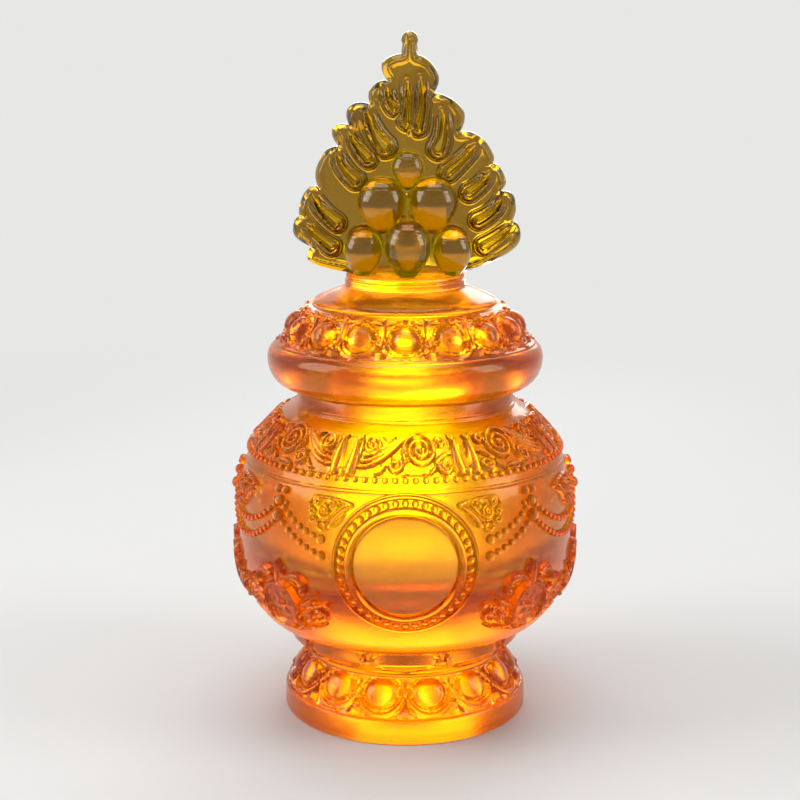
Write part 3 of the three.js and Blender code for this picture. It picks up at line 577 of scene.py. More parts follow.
def spray_leaves(x, y):
    """A ringed jewel under a pointed flame, on hooked lotus leaves and curls of cloud."""
    side = abs(x)
    away = np.hypot(x, y)
    six = 0.5 + 0.5 * np.cos(6 * np.arctan2(y, x + 1e-9))
    petals = 0.55 * six * np.clip(1 - abs(away - 3.6) / 2.3, 0, 1)
    disc = [
        np.where(away < 6.8, 1.3 + petals, SUNK),
        ring(x, y, (0.0, 0.0), 7.2, 0.95, 2.7),
        dome(x, y, (0.0, 0.0), 1.9, 1.1, 1.0, 1.3),
        strand(x, y, curve((0, 8.4), (0.1, 11.6), (0, 15.0), count=12), [1.6, 2.35, 1.9, 0.5], 2.4),
    ]
    strands = [
        (curve((3.4, 9.2), (6.2, 12.0), (10.4, 11.4), (11.4, 7.6), (10.6, 6.6), count=22),
         [1.3, 1.6, 1.55, 1.2, 1.2], 2.4),
        (curve((5.2, 8.0), (7.2, 9.0), (8.6, 7.4), count=10), [0.5, 0.85, 0.4], 1.5),
        (curve((9.6, 1.2), (12.6, 2.2), (16.2, 6.4), count=14), [1.2, 1.25, 0.4], 2.1),
        (curve((12.0, 0.6), (15.6, 1.6), (19.2, 3.2), count=12), [1.0, 1.1, 0.6], 1.9),
        (spiral((11.4, -2.9), 2.3, 0.6, 130, -1.3, 36), [0.9, 1.05, 0.75], 2.1),
        (spiral((16.9, -1.9), 2.3, 0.6, 160, -1.25, 34), [0.9, 1.0, 0.7], 2.0),
        (spiral((6.4, -6.5), 1.9, 0.5, 140, -1.2, 30), [0.8, 0.95, 0.65], 1.9),
        (curve((8.0, -8.2), (13.0, -7.6), (18.2, -4.9), count=14), [0.8, 1.05, 0.5], 1.7),
        (curve((0, -9.3), (3.2, -9.6), (6.6, -9.0), count=12), [1.1, 1.1, 0.7], 1.7),
    ]
    bosses = [((10.4, 6.2), 1.7, 2.7), ((19.3, 2.2), 1.5, 2.2)]
    return over(*disc, *drawn(side, y, strands, bosses))


def cone_ring():
    """The band of scrolls as one ring that goes round the shoulder."""
    columns, rows = 840, 40
    band_radius, band_tall, root = 50.0, 14.4, 2.4
    bpy.ops.mesh.primitive_cylinder_add(vertices=columns, radius=band_radius * MM, depth=band_tall * MM,
                                        end_fill_type="NOTHING")
    piece = bpy.context.object
    piece.name = "scrolls"
    middle_row = rows // 2
    with editing(piece):
        for row in [middle_row] + [i for i in range(1, rows) if i != middle_row]:
            height = (-band_tall / 2 + band_tall * row / rows) * MM
            bpy.ops.mesh.bisect(plane_co=(0, 0, height), plane_no=(0, 0, 1))
            bpy.ops.mesh.select_all(action="SELECT")
        bpy.ops.mesh.extrude_region_shrink_fatten(TRANSFORM_OT_shrink_fatten={"value": MM})
    points = places(piece)
    azimuth = np.arctan2(points[:, 0], -points[:, 1])
    top = np.hypot(points[:, 0], points[:, 1]) > band_radius + 0.5
    bay = azimuth / math.radians(BAY)
    number = np.round(bay)
    across = (bay - number) * math.radians(BAY) * band_radius
    hand = np.where(number.astype(int) % 2 == 0, 1, -1)
    along = cone_wall.length / 2 + points[:, 2] * (cone_wall.length - 0.8) / band_tall
    lift = np.where(top, shoulder_scrolls(across * hand, points[:, 2]), -root)
    place(piece, cone_wall.lifted(azimuth, along, lift))
    return face_out(piece)


# Strings of pearls: how far round each stretch goes, the strings' (height, sag), and the pearls of a knot
# as (degrees aside, height, radius)
STRETCHES = ((27.6, 45), (45, 90), (90, 135), (135, 152.4))
STRINGS = ((86.8, 10.6), (81.6, 11.1))
KNOTS = (45, 90, 135)
KNOT_PEARLS = [(-1.65, 90.2, 1.55), (-2.9, 86.4, 0.95), (1.65, 90.2, 1.55), (2.9, 86.4, 0.95),
               (0, 86.6, 1.9), (0, 81.9, 2.2)]
STRING_PEARL = 1.2
END_PEARL = 1.75
PEARL_PITCH = 3.0
KNOT_GAP = 3.1
END_GAP = 3.2
SHOULDER_PEARLS = 104
SHOULDER_PEARL = 1.15
SHOULDER_PEARL_HEIGHT = 96.6


def string_height(azimuth, top, sag):
    """The height of a string, which sags as a parabola between two knots."""
    t = azimuth / BAY - math.floor(azimuth / BAY)
    return top - 4 * sag * t * (1 - t)


def swag_pearls():
    """Two strings of pearls in each bay, hung from knots of bigger pearls; the roundels cut theirs short."""
    spots = []

    def pearl(azimuth, height, reach):
        along = bowl_wall.of_height(height)
        spots.append((bowl_wall.lifted(math.radians(azimuth), along, reach * 0.35), reach))

    def string(hand, start, end, top, sag):
        fine = np.linspace(start, end, 400)
        heights = np.array([string_height(min(max(a, start + 1e-6), end - 1e-6), top, sag) for a in fine])
        run = np.concatenate([[0], np.cumsum(np.hypot(np.radians(np.diff(fine)) * BELLY, np.diff(heights)))])
        first = END_GAP if start % BAY else KNOT_GAP
        last = run[-1] - (END_GAP if end % BAY else KNOT_GAP)
        count = max(2, round((last - first) / PEARL_PITCH))
        for k in range(count + 1):
            azimuth = float(np.interp(first + (last - first) * k / count, run, fine))
            pearl(hand * azimuth, string_height(azimuth, top, sag), STRING_PEARL)
        for edge in (start, end):
            if edge % BAY:
                pearl(hand * edge, string_height(edge, top, sag), END_PEARL)

    for hand in (-1, 1):
        for start, end in STRETCHES:
            for top, sag in STRINGS:
                string(hand, start, end, top, sag)
        for knot in KNOTS:
            for aside, height, reach in KNOT_PEARLS:
                pearl(hand * knot + aside, height, reach)
    return pearl_mesh("swag_pearls", spots)


def shoulder_pearls():
    """The ring of small pearls under the band of scrolls."""
    along = bowl_wall.of_height(SHOULDER_PEARL_HEIGHT)
    spots = [(bowl_wall.lifted(2 * math.pi * i / SHOULDER_PEARLS, along, 0.35), SHOULDER_PEARL)
             for i in range(SHOULDER_PEARLS)]
    return pearl_mesh("shoulder_pearls", spots)


# Lid
lid_slope = Wall([(45.6, 133.9), (43.4, 134.9), (41.4, 136.2), (39.6, 137.9), (38.1, 139.7), (36.8, 141.7),
                  (35.7, 143.8), (34.9, 145.6), (34.2, 146.2)])
CABOCHONS = 16
CABOCHON_ROUND = 38.5


def cabochons(azimuth, along, radius):
    """Oval cabochons, each in a ring and the cup of a petal, with buds and ridges between the petals."""
    across, between = petal_turns(azimuth, CABOCHONS, CABOCHON_ROUND)
    middle = 9.4
    ring_wide, ring_tall = 5.7, 6.0
    cup_wide, cup_tall = 7.05, 7.6
    up = along - middle
    scallop = 16.1 + 0.75 * np.exp(-(across / 1.6) ** 2) - 0.35 * np.exp(-(between / 2.2) ** 2)
    forms = [
        dome(across, up, (0, 0), 4.6, 3.6, 1.07, 0.15),
        border(np.hypot(across / ring_wide, up / ring_tall), ring_wide, 0.55, 1.15),
        border(cup(across, up, cup_wide, cup_tall), cup_wide, 0.5, 0.95),
        strand(between, up, [(0, 7.2), (0, 1.0), (0, -4.0)], [0.5, 1.0, 0.5], 1.1),
        dome(between, up, (0, -6.3), 2.0, 1.4, 0.8, 0.1),
        dome(across, up, (0, -8.6), 1.5, 0.6, 0.5),
        0.7 * np.exp(-((along - scallop) / 0.42) ** 2),
    ]
    return np.maximum(0, over(*forms)) * np.clip((lid_slope.length - along) / 0.5, 0, 1)


def lid_body():
    """The lid from its spigot to the plinth, hollow underneath."""
    profile = [(0, 143.2), (20, 142.6), (24.6, 139.6), (26.6, 135), (27.2, 130), (27.5, 124), (27.5, 114),
               (27.5, 109.6), (27.9, 109.1), (28.6, 109), (31.6, 109), (32.2, 109.3), (32.5, 110),
               (32.5, 114), (32.5, 117.4), (32.8, LID_FOOT), (36, LID_FOOT), (38.6, LID_FOOT + 0.1),
               (41.2, 118.5)]
    profile += arc((41.4, 128.5), (7.0, 9.6), -76, 0, 12)
    profile += arc((44.4, 128.5), (4.0, 5.0), 12, 70, 8)
    profile += [(45.8, 133.55)]
    profile += rounded(lid_slope.points, SKIN_STEP)
    profile += [(33.6, 146.4), (33.0, 146.5), (32.4, 146.6), (31.9, 147.0), (31.9, 147.5), (32.0, 147.9),
                (31.6, 148.5), (30.9, 149.0), (29.6, 149.6), (27.6, 150.4), (25.4, 151.3), (23.4, 152.1),
                (22.1, 152.6), (21.5, 152.9), (21.1, 153.3), (PLINTH_RADIUS, 153.9), (PLINTH_RADIUS, 155.0),
                (20.9, 155.5), (20.4, 155.8), (20.35, 156.1), (20.7, 156.5), (20.6, 157.1), (20.2, 157.5),
                (19.5, 157.7), (10, 157.7), (0, 157.7)]
    lid = turned("lid_cap", profile, LID_STEPS)
    raise_ring(lid, lid_slope, cabochons)
    return lid


# Tongues of the flame up each side as (tip x, tip height, top x, top height, notch x, notch height), with
# heights from the flame's foot
LEFT_TONGUES = [
    (34, 5, 34, 8.2, 32.6, 8.6), (38.9, 15.1, 38.9, 18.5, 36.6, 19.6), (36.4, 23.8, 34.6, 30.4, 30.3, 30),
    (30.7, 35.8, 28.2, 43.6, 23, 43.6), (25, 49.4, 23, 51.8, 19.3, 50.8), (19.9, 55.8, 17.5, 59.6, 12, 57.8),
    (12.3, 62.2, 9.8, 66, 6.2, 65.8), (7.9, 71.6, 5, 74.4, 1.4, 74.6)]
RIGHT_TONGUES = [
    (40.1, 12.9, 40.1, 17, 37.2, 18), (38.1, 24, 38, 28.6, 33.2, 28.3), (34.6, 32.4, 32.6, 37.8, 30.2, 37.7),
    (30.2, 40.9, 26.6, 49, 19, 48.7), (20.2, 55.1, 17.2, 60.2, 9.9, 61.6), (11.3, 67.6, 9, 73, 4.4, 74.2)]


def flame_outline():
    """The flame's outline from its foot on the left over the knob to its foot on the right."""
    def side(tongues, hand):
        points = []
        start = (hand * FLAME_FOOT_HALF, 0.0)
        for tip_x, tip, top_x, top, notch_x, notch in tongues:
            end = (hand * tip_x, tip)
            points += curve(start, (hand * (tip_x + 0.8), (start[1] + tip) / 2), end, count=12)[:-1]
            start = (hand * notch_x, notch)
            points += curve(end, (hand * top_x, top), start, count=12)[:-1]
        return points + [np.array(start)]
    knob = [np.array(point) for point in arc((1.5, 79.2), 2.9, 210, -30, 14)]
    return side(LEFT_TONGUES, -1) + knob + side(RIGHT_TONGUES, 1)[::-1]


# Each tongue's groove, from its round inner end out to its tip: the (x, height) of both ends and the
# half-widths there, in hundredths of the flame's height
TONGUE_GROOVES = [
    (-31.2, 11.1, -41.4, 19.9, 1.8, 1.9), (-29, 21.1, -38.7, 32.6, 1.9, 2.2),
    (-20.8, 39, -28.4, 50.7, 1.8, 1.9), (-15.6, 47.7, -23.6, 58.6, 1.7, 2.2),
    (-8.5, 52.9, -15.7, 67, 2.7, 3.4), (-4.6, 69.1, -7.4, 76.7, 1.4, 1.6),
    (0.7, 63.3, 1, 79.2, 1.5, 1.9), (5.5, 60.7, 6.3, 81, 1.6, 2.7), (13.8, 51.9, 15.1, 67.6, 2.6, 1.4),
    (18, 42.1, 29, 53, 1.9, 2.2), (26.8, 33.6, 35.3, 41.7, 1.6, 1.9), (30.7, 22, 40.9, 31.9, 1.5, 1.9),
    (33.5, 11.2, 45.1, 19.5, 1.8, 2.4)]
PLATE_HALF = 3.1

# The net that fills the outline: its cell, how far off the outline it starts, and the rows nearer to it
NET = 0.5
NET_CLEAR = 1.35
RIM_ROWS = (0.1, 0.35, 0.75)


def flame_depth(x, y, rim):
    """Half the thickness of the flame at each point; rim is the distance to its outline."""
    ridge = np.zeros(x.shape)
    groove = np.zeros(x.shape)
    sizes = np.array(TONGUE_GROOVES) * FLAME_HEIGHT / 100
    for number, (start_x, start, end_x, end, inner, _) in enumerate(sizes):
        hand = 1 if start_x > 0 else -1
        bow = hand * (0.05 + 0.07 * (number % 3))
        pull = ((start_x + end_x) / 2 + bow * (end - start), (start + end) / 2 - bow * (end_x - start_x))
        away, along = trace(x, y, curve((start_x, start), pull, (end_x, end), count=10))
        half = inner * 0.8 + (0.45 - inner * 0.8) * along ** 0.8
        edge = away - half
        open_end = 1 - eased(along, 0.62, 1.0)
        rope = 1.25 * np.exp(-((edge - 0.95) / 0.78) ** 2) * (0.35 + 0.65 * open_end)
        pillow = 0.6 * np.sqrt(np.maximum(0, 1 - (away / (half + 3.0)) ** 2))
        ridge = np.maximum(ridge, rope + pillow)
        groove = np.maximum(groove, 2.2 * eased(-edge, -0.35, 0.45) * (0.15 + 0.85 * open_end))
    bead = 0.75 * np.exp(-((rim - 1.9) / 0.9) ** 2)
    waves = 0.15 * np.sin(x / 4.3) * np.cos(y / 5.1)
    ball = 1.7 * np.maximum(0, 1 - ((x + 16.2) / 3.0) ** 2 - ((y - 52.4) / 3.7) ** 2) ** 0.5
    thread = 0.6 * np.maximum(0, crown(nearness(x, y, [(1.5, 41), (1.4, 45), (1.6, 50)], [0.7, 0.55]), 1))
    body = PLATE_HALF + waves + np.maximum(ridge, bead) - groove + ball + thread
    soft = np.clip(rim / 2.8, 0, 1)
    return body * np.sqrt(np.maximum(0, soft * (2 - soft)))


def drawn_in(outline, inset):
    """The outline drawn in by an inset, without a care for where it crosses itself."""
    loop = np.array(outline)
    along = np.roll(loop, -1, 0) - np.roll(loop, 1, 0)
    along /= np.hypot(*along.T)[:, None]
    return loop + np.stack([along[:, 1], -along[:, 0]], -1) * inset


def rim_distance(points, line):
    """How far each point is from a drawn line."""
    return trace(points[:, 0], points[:, 1], line)[0]


def within(points, outline):
    """Whether each point lies inside a closed outline."""
    inside = np.zeros(len(points), bool)
    loop = np.array(outline)
    for (ax, ay), (bx, by) in zip(loop, np.roll(loop, -1, 0)):
        crosses = (ay > points[:, 1]) != (by > points[:, 1])
        with np.errstate(divide="ignore", invalid="ignore"):
            meets = (bx - ax) * (points[:, 1] - ay) / (by - ay) + ax
        inside ^= crosses & (points[:, 0] < meets)
    return inside


def flame():
    """The flame: a fine net in its outline, thick in the middle and drawn to nothing at the rim."""
    edge = flame_outline()
    outline = edge + [np.array((x, 0.0)) for x in np.arange(19.5, -20, -1.0)]
    closed = outline + outline[:1]
    xs, ys = np.meshgrid(np.arange(-41, 42, NET), np.arange(0, 83, NET * 0.87))
    xs = xs + NET / 2 * (np.arange(xs.shape[0]) % 2)[:, None]
    net = np.stack([xs.ravel(), ys.ravel()], -1)
    net = net[within(net, outline)]
    rows = [net[rim_distance(net, closed) > NET_CLEAR]]
    for inset in RIM_ROWS:
        row = drawn_in(outline, inset)
        row = row[within(row, outline)]
        rows.append(row[rim_distance(row, closed) > inset * 0.93])
    every = [tuple(p) for p in outline] + [tuple(p) for p in np.concatenate(rows)]
    edges = [(i, (i + 1) % len(outline)) for i in range(len(outline))]
    flat, _, faces, _, _, _ = delaunay_2d_cdt(every, edges, [], 1, 1e-5)
    flat = np.array([tuple(p) for p in flat])
    rim = rim_distance(flat, edge)
    depth = flame_depth(flat[:, 0], flat[:, 1], rim)
    front = np.stack([flat[:, 0], -depth, FLAME_FOOT - SEAT + flat[:, 1]], -1)
    total = len(flat)
    other = [i if rim[i] < 1e-4 else total + i for i in range(total)]
    index = [tuple(face) for face in faces] + [tuple(other[v] for v in reversed(face)) for face in faces]
    on_foot = (flat[:, 1] < 1e-6) & (abs(flat[:, 0]) < FLAME_FOOT_HALF + 0.1)
    under = sorted(np.nonzero(on_foot)[0], key=lambda v: flat[v, 0])
    index.append(tuple(int(v) for v in under) + tuple(int(other[v]) for v in under[-2:0:-1]))
    piece = from_faces("flame", np.concatenate([front, front * (1, -1, 1)]), index)
    with editing(piece):
        bpy.ops.mesh.delete_loose()
    return face_out(piece)


# Jewels as (x, foot height, width, height, how far the middle is from the flame's own middle)
JEWELS = [(0.82, -2.13, 15.76, 21.18, 13.52), (-14.45, -1.97, 13.63, 17.9, 8.67),
          (16.09, -1.97, 13.63, 17.9, 8.67), (-8.05, 13.3, 16.91, 19.38, 6.54),
          (9.69, 13.3, 16.91, 19.38, 6.54), (0.82, 28.49, 11.49, 13.46, 7.28)]
# Where a jewel is widest and where its lines run, in shares of its height, and how far behind it is cut
JEWEL_WIDEST = 0.57
JEWEL_LINES = (0.76, 0.83, 0.89)
JEWEL_BACK = 3.4
STEM_X = 0.82
STEM_OUT = 9.2


def jewel(name, shape, side):
    """A wish-granting jewel: a pear with a pointed foot and fine turned lines round its crown."""
    x, foot, width, tall, middle = shape
    profile = []
    for t in np.linspace(0, 1, 60):
        below, above = max(0, 1 - t / JEWEL_WIDEST), max(0, t - JEWEL_WIDEST) / (1 - JEWEL_WIDEST)
        reach = width / 2 * (1 - below ** 1.7) ** 0.75 * math.sqrt(max(0, 1 - above ** 2))
        for line in JEWEL_LINES:
            reach -= 0.16 * math.exp(-((t - line) / 0.012) ** 2)
        profile.append((max(reach, 0), tall * t))
    pear = turned(name, profile, JEWEL_STEPS)
    points = places(pear)
    points[:, 0] += x
    points[:, 1] = side * (middle + points[:, 1])
    points[:, 2] += FLAME_FOOT + foot
    place(pear, points)
    face_out(pear)
    flame_face = ((0, side * JEWEL_BACK * MM, 0), (0, side, 0))
    plinth_top = ((0, 0, (FLAME_FOOT - SEAT) * MM), (0, 0, 1))
    for spot, way in (flame_face, plinth_top):
        with editing(pear):
            bpy.ops.mesh.bisect(plane_co=spot, plane_no=way, use_fill=True, clear_inner=True)
    return face_out(pear)


def stem(name, side):
    """The thin stem between the two middle jewels, turned with fine rings."""
    rings = [(0.75 + 0.12 * math.cos(k * 1.9), 15.8 + k * 0.42) for k in range(26)]
    piece = turned(name, [(0, 15.6)] + rings + [(0, 27.0)], STEM_STEPS)
    place(piece, places(piece) + (STEM_X, side * STEM_OUT, FLAME_FOOT))
    return face_out(piece)


# Shader maths, written as expressions
class Value:
    """A socket of a shader that is added, taken away and multiplied as a number is."""

    def __init__(self, tree, socket):
        self.tree, self.socket = tree, socket

    def maths(self, operation, other=None, flip=False):
        made = self.tree.nodes.new("ShaderNodeMath")
        made.operation = operation
        for socket, value in zip(made.inputs, (other, self) if flip else (self, other)):
            self.tree.link(value, socket)
        return Value(self.tree, made.outputs[0])

    def __add__(self, other):
        return self.maths("ADD", other)

    def __sub__(self, other):
        return self.maths("SUBTRACT", other)

    def __rsub__(self, other):
        return self.maths("SUBTRACT", other, True)

    def __mul__(self, other):
        return self.maths("MULTIPLY", other)

    __radd__, __rmul__ = __add__, __mul__


class Finish:
    """A material under a maker's name, with its Principled shader and the place on the object."""

    def __init__(self, name, **sockets):
        self.material = bpy.data.materials.new(name)
        self.material.use_nodes = True
        self.nodes = self.material.node_tree.nodes
        self.shader = self.nodes["Principled BSDF"]
        self.output = self.nodes["Material Output"]
        self.feed(self.shader, sockets)
        self.place = Value(self, self.node("ShaderNodeTexCoord").outputs["Object"])

    def link(self, value, socket):
        """Feeds a value or a number to a socket; None leaves the socket alone."""
        if isinstance(value, Value):
            self.material.node_tree.links.new(value.socket, socket)
        elif value is not None:
            socket.default_value = value

    def feed(self, node, sockets):
        for name, value in sockets.items():
            self.link(value, node.inputs[name.replace("_", " ")])

    def node(self, kind, settings=(), **sockets):
        """A node of a kind, with its settings, and with values or numbers for its sockets."""
        made = self.nodes.new(kind)
        for name, value in settings:
            setattr(made, name, value)
        self.feed(made, sockets)
        return made

    def noise(self, size, detail):
        """Soft noise whose spots are about size millimetres."""
        made = self.node("ShaderNodeTexNoise", Scale=1000 / size, Detail=detail, Vector=self.place)
        return Value(self, made.outputs["Fac"])

    def parts(self, place):
        """The three numbers of a place."""
        made = self.node("ShaderNodeSeparateXYZ", Vector=place)
        return [Value(self, output) for output in made.outputs]

    def ramp(self, value, low, high):
        """Rises smoothly from 0 at low to 1 at high."""
        made = self.node("ShaderNodeMapRange", [("interpolation_type", "SMOOTHSTEP")],
                         From_Min=low, From_Max=high, Value=value)
        return Value(self, made.outputs["Result"])

    def mix(self, share, first, second):
        """A colour between two colours."""
        made = self.node("ShaderNodeMix", [("data_type", "RGBA")], Factor=share)
        for name, colour in (("A", first), ("B", second)):
            socket = [s for s in made.inputs if s.name == name and s.type == "RGBA"][0]
            self.link((*colour, 1), socket)
        return Value(self, [s for s in made.outputs if s.type == "RGBA"][0])

    def bump(self, height, strength, distance):
        """Bumps the surface by a height; the distance is in millimetres."""
        made = self.node("ShaderNodeBump", Strength=strength, Distance=distance * MM, Height=height)
        self.feed(self.shader, {"Normal": Value(self, made.outputs["Normal"])})

    def absorb(self, colour, density):
        """Takes up light inside the piece."""
        made = self.node("ShaderNodeVolumeAbsorption", Color=(*colour, 1), Density=density)
        self.feed(self.output, {"Volume": Value(self, made.outputs["Volume"])})


def cast_glass(name, tint, side_shade_and_finial_tint, loss, rough, grain, change="turn", **sockets):
    """Cast glass that is clear yellow where it is thin and deep orange where it is thick, with a satin skin.

    Its tint changes to the second one from front and back to the two sides, which is painted shade that
    deepens the sides to orange-red, or from the body up to the finial.
    loss is how much of red, green and blue a metre of it takes.
    """
    glass = Finish(name, IOR=1.5, **{"Transmission_Weight": 1.0, **sockets})
    cloud = glass.noise(9, 2.0)
    x, y, z = glass.parts(glass.place)
    away = (x * x + y * y).maths("POWER", 0.5).maths("MAXIMUM", 0.001)
    # Towards the two sides (+X and -X) the tint turns to the second one: painted shade that deepens the sides
    turn = x.maths("ABSOLUTE").maths("DIVIDE", away) + (cloud - 0.5) * 0.2
    share = glass.ramp(turn, 0.3, 0.97) if change == "turn" else glass.ramp(z, 0.13, 0.15)
    satin = glass.noise(0.5, 2.0)
    glass.feed(glass.shader, {"Base Color": glass.mix(share, tint, side_shade_and_finial_tint),
                              "Roughness": rough + (cloud - 0.5) * 0.1 + (satin - 0.5) * 0.05})
    ripple = glass.noise(7, 1.0) * 0.8 + satin * grain
    glass.bump(ripple, 0.25, 0.3)
    density = loss[2]
    glass.absorb([1 - taken / density for taken in loss], density)
    return glass.material


GLASS = {
    # The amber glass's second colour, deep orange-red, is painted shade on the two sides of the vase
    "amber_glass": cast_glass(
        "amber_cast_glass", (1.0, 0.79, 0.09), (0.96, 0.4, 0.03), loss=(2.0, 17.0, 330), rough=0.21,
        grain=0.11, Coat_Weight=0.3, Coat_Roughness=0.09, Sheen_Weight=0.5, Sheen_Roughness=0.45,
        Sheen_Tint=(1.0, 0.28, 0.02, 1), Specular_Tint=(1.0, 0.7, 0.3, 1)),
    "golden_glass": cast_glass(
        "golden_polished_glass", (1.0, 0.9, 0.12), (0.96, 0.79, 0.08), loss=(22.0, 21.0, 300), rough=0.13,
        grain=0.02, change="height", Coat_Weight=0.6, Coat_Roughness=0.06, Sheen_Weight=0.2,
        Sheen_Roughness=0.3, Sheen_Tint=(1.0, 0.35, 0.03, 1), Specular_Tint=(1.0, 0.85, 0.45, 1)),
    # The flame glass is a darker copy of the amber glass: painted shade for the dark ground seen through the
    # flame, and a little darker still away from its middle line
    "flame_glass": cast_glass(
        "flame_shaded_cast_glass", (0.8, 0.6, 0.06), (0.74, 0.54, 0.05), loss=(130.0, 190.0, 850), rough=0.1,
        grain=0.05, Transmission_Weight=0.94, Coat_Weight=0.25, Coat_Roughness=0.1,
        Specular_Tint=(1.0, 0.9, 0.6, 1)),
}


def finish(piece, slot, body, *nodes, angle=38):
    """Shades a piece, gives it the glass of its slot, and rides it on a body in place of the nodes."""
    take(piece)
    bpy.ops.object.transform_apply(location=True, rotation=True, scale=True)
    bpy.ops.object.shade_smooth_by_angle(angle=math.radians(angle))
    piece.data.materials.clear()
    piece.data.materials.append(GLASS[slot])
    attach(piece, body)
    if nodes:
        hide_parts(*nodes)


# Where the pendants hang, each with its hand, and where the sprays grow
PENDANTS = ((24.8, 1), (67.5, 1), (112.5, -1), (155.2, -1), (204.8, 1), (247.5, 1), (292.5, -1), (335.2, -1))
PENDANT_HEIGHT = 85.4
PENDANT_SIZE = (18.4, 14.6)
PENDANT_CELL = 0.36
SPRAYS = (45, 90, 135, 225, 270, 315)
SPRAY_HEIGHT = 51.4
SPRAY_SIZE = (43, 33)
SPRAY_LOWEST = -11.5
SPRAY_CELL = 0.55


def make_vase():
    """The vase body as one casting, and the lenses in its two roundels."""
    body = bowl_shell()
    for ornament in (vase_foot, cone_ring, shoulder_pearls, swag_pearls):
        fuse(body, ornament())
    for azimuth in (0, 180):
        for ornament in roundel_frame(azimuth):
            fuse(body, ornament)
    for azimuth, hand in PENDANTS:
        fuse(body, relief("pendant", azimuth, PENDANT_HEIGHT, PENDANT_SIZE, PENDANT_CELL, pendant_scrolls,
                          flip=hand))
    for azimuth in SPRAYS:
        fuse(body, relief("spray", azimuth, SPRAY_HEIGHT, SPRAY_SIZE, SPRAY_CELL, spray_leaves,
                          lowest=SPRAY_LOWEST))
    body.name = body.data.name = "vase_body"
    triangles = sum(len(face.vertices) - 2 for face in body.data.polygons)
    apply(body, "DECIMATE", ratio=min(1, MOST_TRIANGLES / triangles))
    nodes = ["foot_pedestal", "foot_lotus_petals", "bowl_lotus_collar", "bowl", "shoulder_scroll_band",
             "shoulder_pearl_ring", "right_pearl_swags", "left_pearl_swags"]
    nodes += [f"{side}_roundel_{part}" for side in ("front", "back") for part in ("frame", "pearls")]
    nodes += [f"scroll_pendant_{i}" for i in range(1, 9)] + [f"lotus_spray_{i}" for i in range(1, 7)]
    finish(body, "amber_glass", "vase", *nodes)
    for side, azimuth in (("front", 0), ("back", 180)):
        finish(roundel_lens(f"{side}_lens", azimuth), "golden_glass", "vase", f"{side}_roundel_lens")


def make_lid():
    """The lid with its plinth, the flame, and the jewels and stems on both sides of it."""
    finish(lid_body(), "amber_glass", "lid", "lid", "lid_cabochon_ring", "finial_plinth")
    # The flame takes the darker glass, whose colour is painted shade
    finish(flame(), "flame_glass", "lid", "flame_halo", angle=60)
    for side, word in ((-1, "front"), (1, "back")):
        for number, shape in enumerate(JEWELS, 1):
            pear = jewel(f"{word}_pear_{number}", shape, side)
            finish(pear, "golden_glass", "lid", f"{word}_jewel_{number}", angle=50)
        finish(stem(f"{word}_stem", side), "golden_glass", "lid", angle=50)


def floor_and_wall():
    """A pale floor that turns up into a round wall, a little darker towards its sides and the front."""
    under = -0.05
    profile = [(0, under), (300, under), (800, under), (1100, under)]
    profile += arc((1100, 400), 400, -90, 0, 16)[1:] + [(1500, 900), (1500, 1500)]
    stand = turned("floor", profile, FLOOR_STEPS)
    pale = Finish("pale_floor", Roughness=0.9)
    x, y, z = pale.parts(pale.place)
    aside = pale.ramp(x.maths("ABSOLUTE"), 0.5, 0.95).maths("MAXIMUM", pale.ramp(0 - y, 0.4, 1.0))
    grey = pale.mix(aside, (0.8, 0.8, 0.79), (0.58, 0.58, 0.57))
    path = pale.node("ShaderNodeLightPath")
    camera_ray, glossy_ray, glass_ray = [Value(pale, path.outputs[f"Is {kind} Ray"])
                                         for kind in ("Camera", "Glossy", "Transmission")]
    seen = (camera_ray + glossy_ray + glass_ray).maths("MINIMUM", 1.0)
    pale.feed(pale.shader, {"Base Color": grey})
    glow = pale.node("ShaderNodeEmission", Color=grey)
    away = (x * x + y * y).maths("POWER", 0.5)
    both = pale.node("ShaderNodeMixShader", Fac=seen * pale.ramp(away, 0.28, 0.8))
    links = pale.material.node_tree.links
    links.new(pale.shader.outputs[0], both.inputs[1])
    links.new(glow.outputs[0], both.inputs[2])
    links.new(both.outputs[0], pale.output.inputs["Surface"])
    take(stand)
    bpy.ops.object.shade_smooth()
    stand.data.materials.append(pale.material)


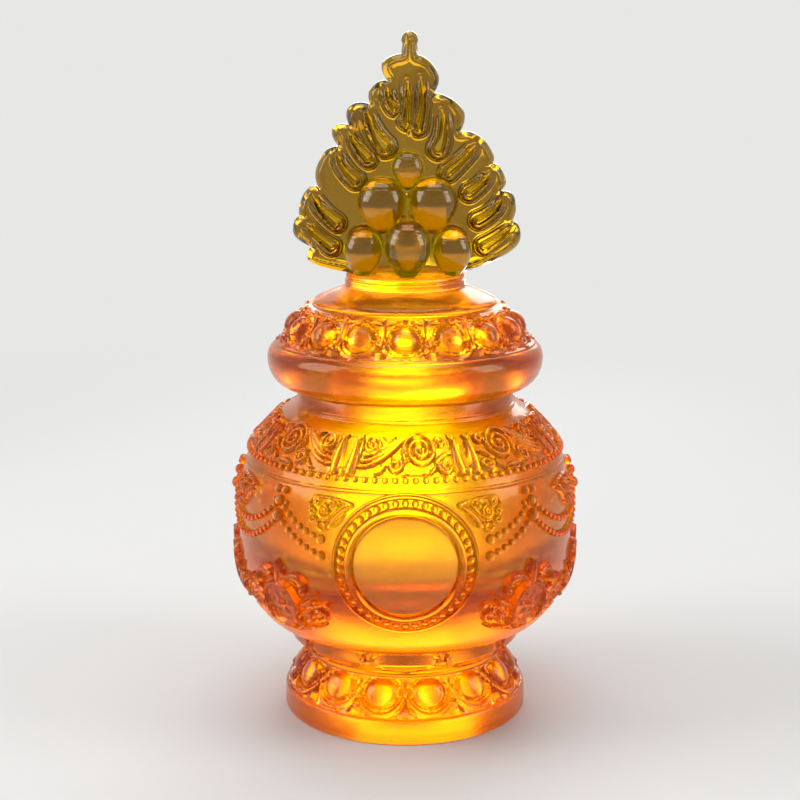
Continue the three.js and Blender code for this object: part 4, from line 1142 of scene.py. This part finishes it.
# Lamps as (name, size, watts, spot, the point it is aimed at), in metres
LAMPS = [
    ("window_left", (0.5, 0.7), 4.2, (-0.75, -0.12, 0.55), (0, 0, 0.12)),
    ("window_right", (0.35, 0.6), 2.4, (0.72, -0.2, 0.5), (0, 0, 0.12)),
    ("top", (0.7, 0.7), 3.0, (0, 0.1, 1.0), (0, 0, 0.1)),
    ("back", (0.6, 0.5), 2.6, (0.1, 0.85, 0.5), (0, 0, 0.1)),
]
# Small lamps behind and under the glass, which aren't seen and leave no patch of light on the floor
GLOWS = [
    ("glow_panel", (0.05, 0.13), 0.05, (-0.006, 0.125, 0.068), (0, 0, 0.068)),
    ("floor_glow", (0.07, 0.07), 0.03, (0, 0.09, 0.0015), (0, 0.0901, 0.1)),
    ("finial_glow", (0.05, 0.03), 0.05, (0.03, 0.11, 0.13), (0, 0, 0.19)),
]
SKY_GREY = 0.9
SKY_STRENGTH = 0.32
CAMERA_LENS = 74.1
CAMERA_SPOT = (-0.0018, -0.571, 0.2333)


def lamp(name, size, power, spot, aim):
    light = bpy.data.lights.new(name, "AREA")
    light.shape = "RECTANGLE"
    light.size, light.size_y = size
    light.energy = power
    holder = bpy.data.objects.new(name, light)
    bpy.context.scene.collection.objects.link(holder)
    holder.location = spot
    way = np.array(aim) - np.array(spot)
    way = way / np.linalg.norm(way)
    holder.rotation_euler = (math.acos(-way[2]), 0, math.atan2(way[0], -way[1]) + math.pi)
    return holder


def studio_light():
    for values in LAMPS:
        lamp(*values)
    for values in GLOWS:
        glow = lamp(*values)
        glow.visible_camera = glow.visible_diffuse = False
        glow.visible_glossy = glow.name == "finial_glow"
        if glow.name == "glow_panel":
            glow.data.spread = math.radians(110)
    world = bpy.data.worlds.new("studio")
    bpy.context.scene.world = world
    world.use_nodes = True
    sky = world.node_tree.nodes["Background"]
    sky.inputs["Color"].default_value = (SKY_GREY, SKY_GREY, SKY_GREY, 1)
    sky.inputs["Strength"].default_value = SKY_STRENGTH


def studio_camera():
    camera = bpy.data.cameras.new("camera")
    camera.lens = CAMERA_LENS
    camera.sensor_width = 36
    viewer = bpy.data.objects.new("camera", camera)
    bpy.context.scene.collection.objects.link(viewer)
    viewer.location = CAMERA_SPOT
    viewer.rotation_euler = (math.radians(90 - VIEW_PITCH), 0, 0)
    bpy.context.scene.camera = viewer
    bpy.context.scene.view_settings.view_transform = "Standard"


make_vase()
make_lid()
floor_and_wall()
studio_light()
studio_camera()
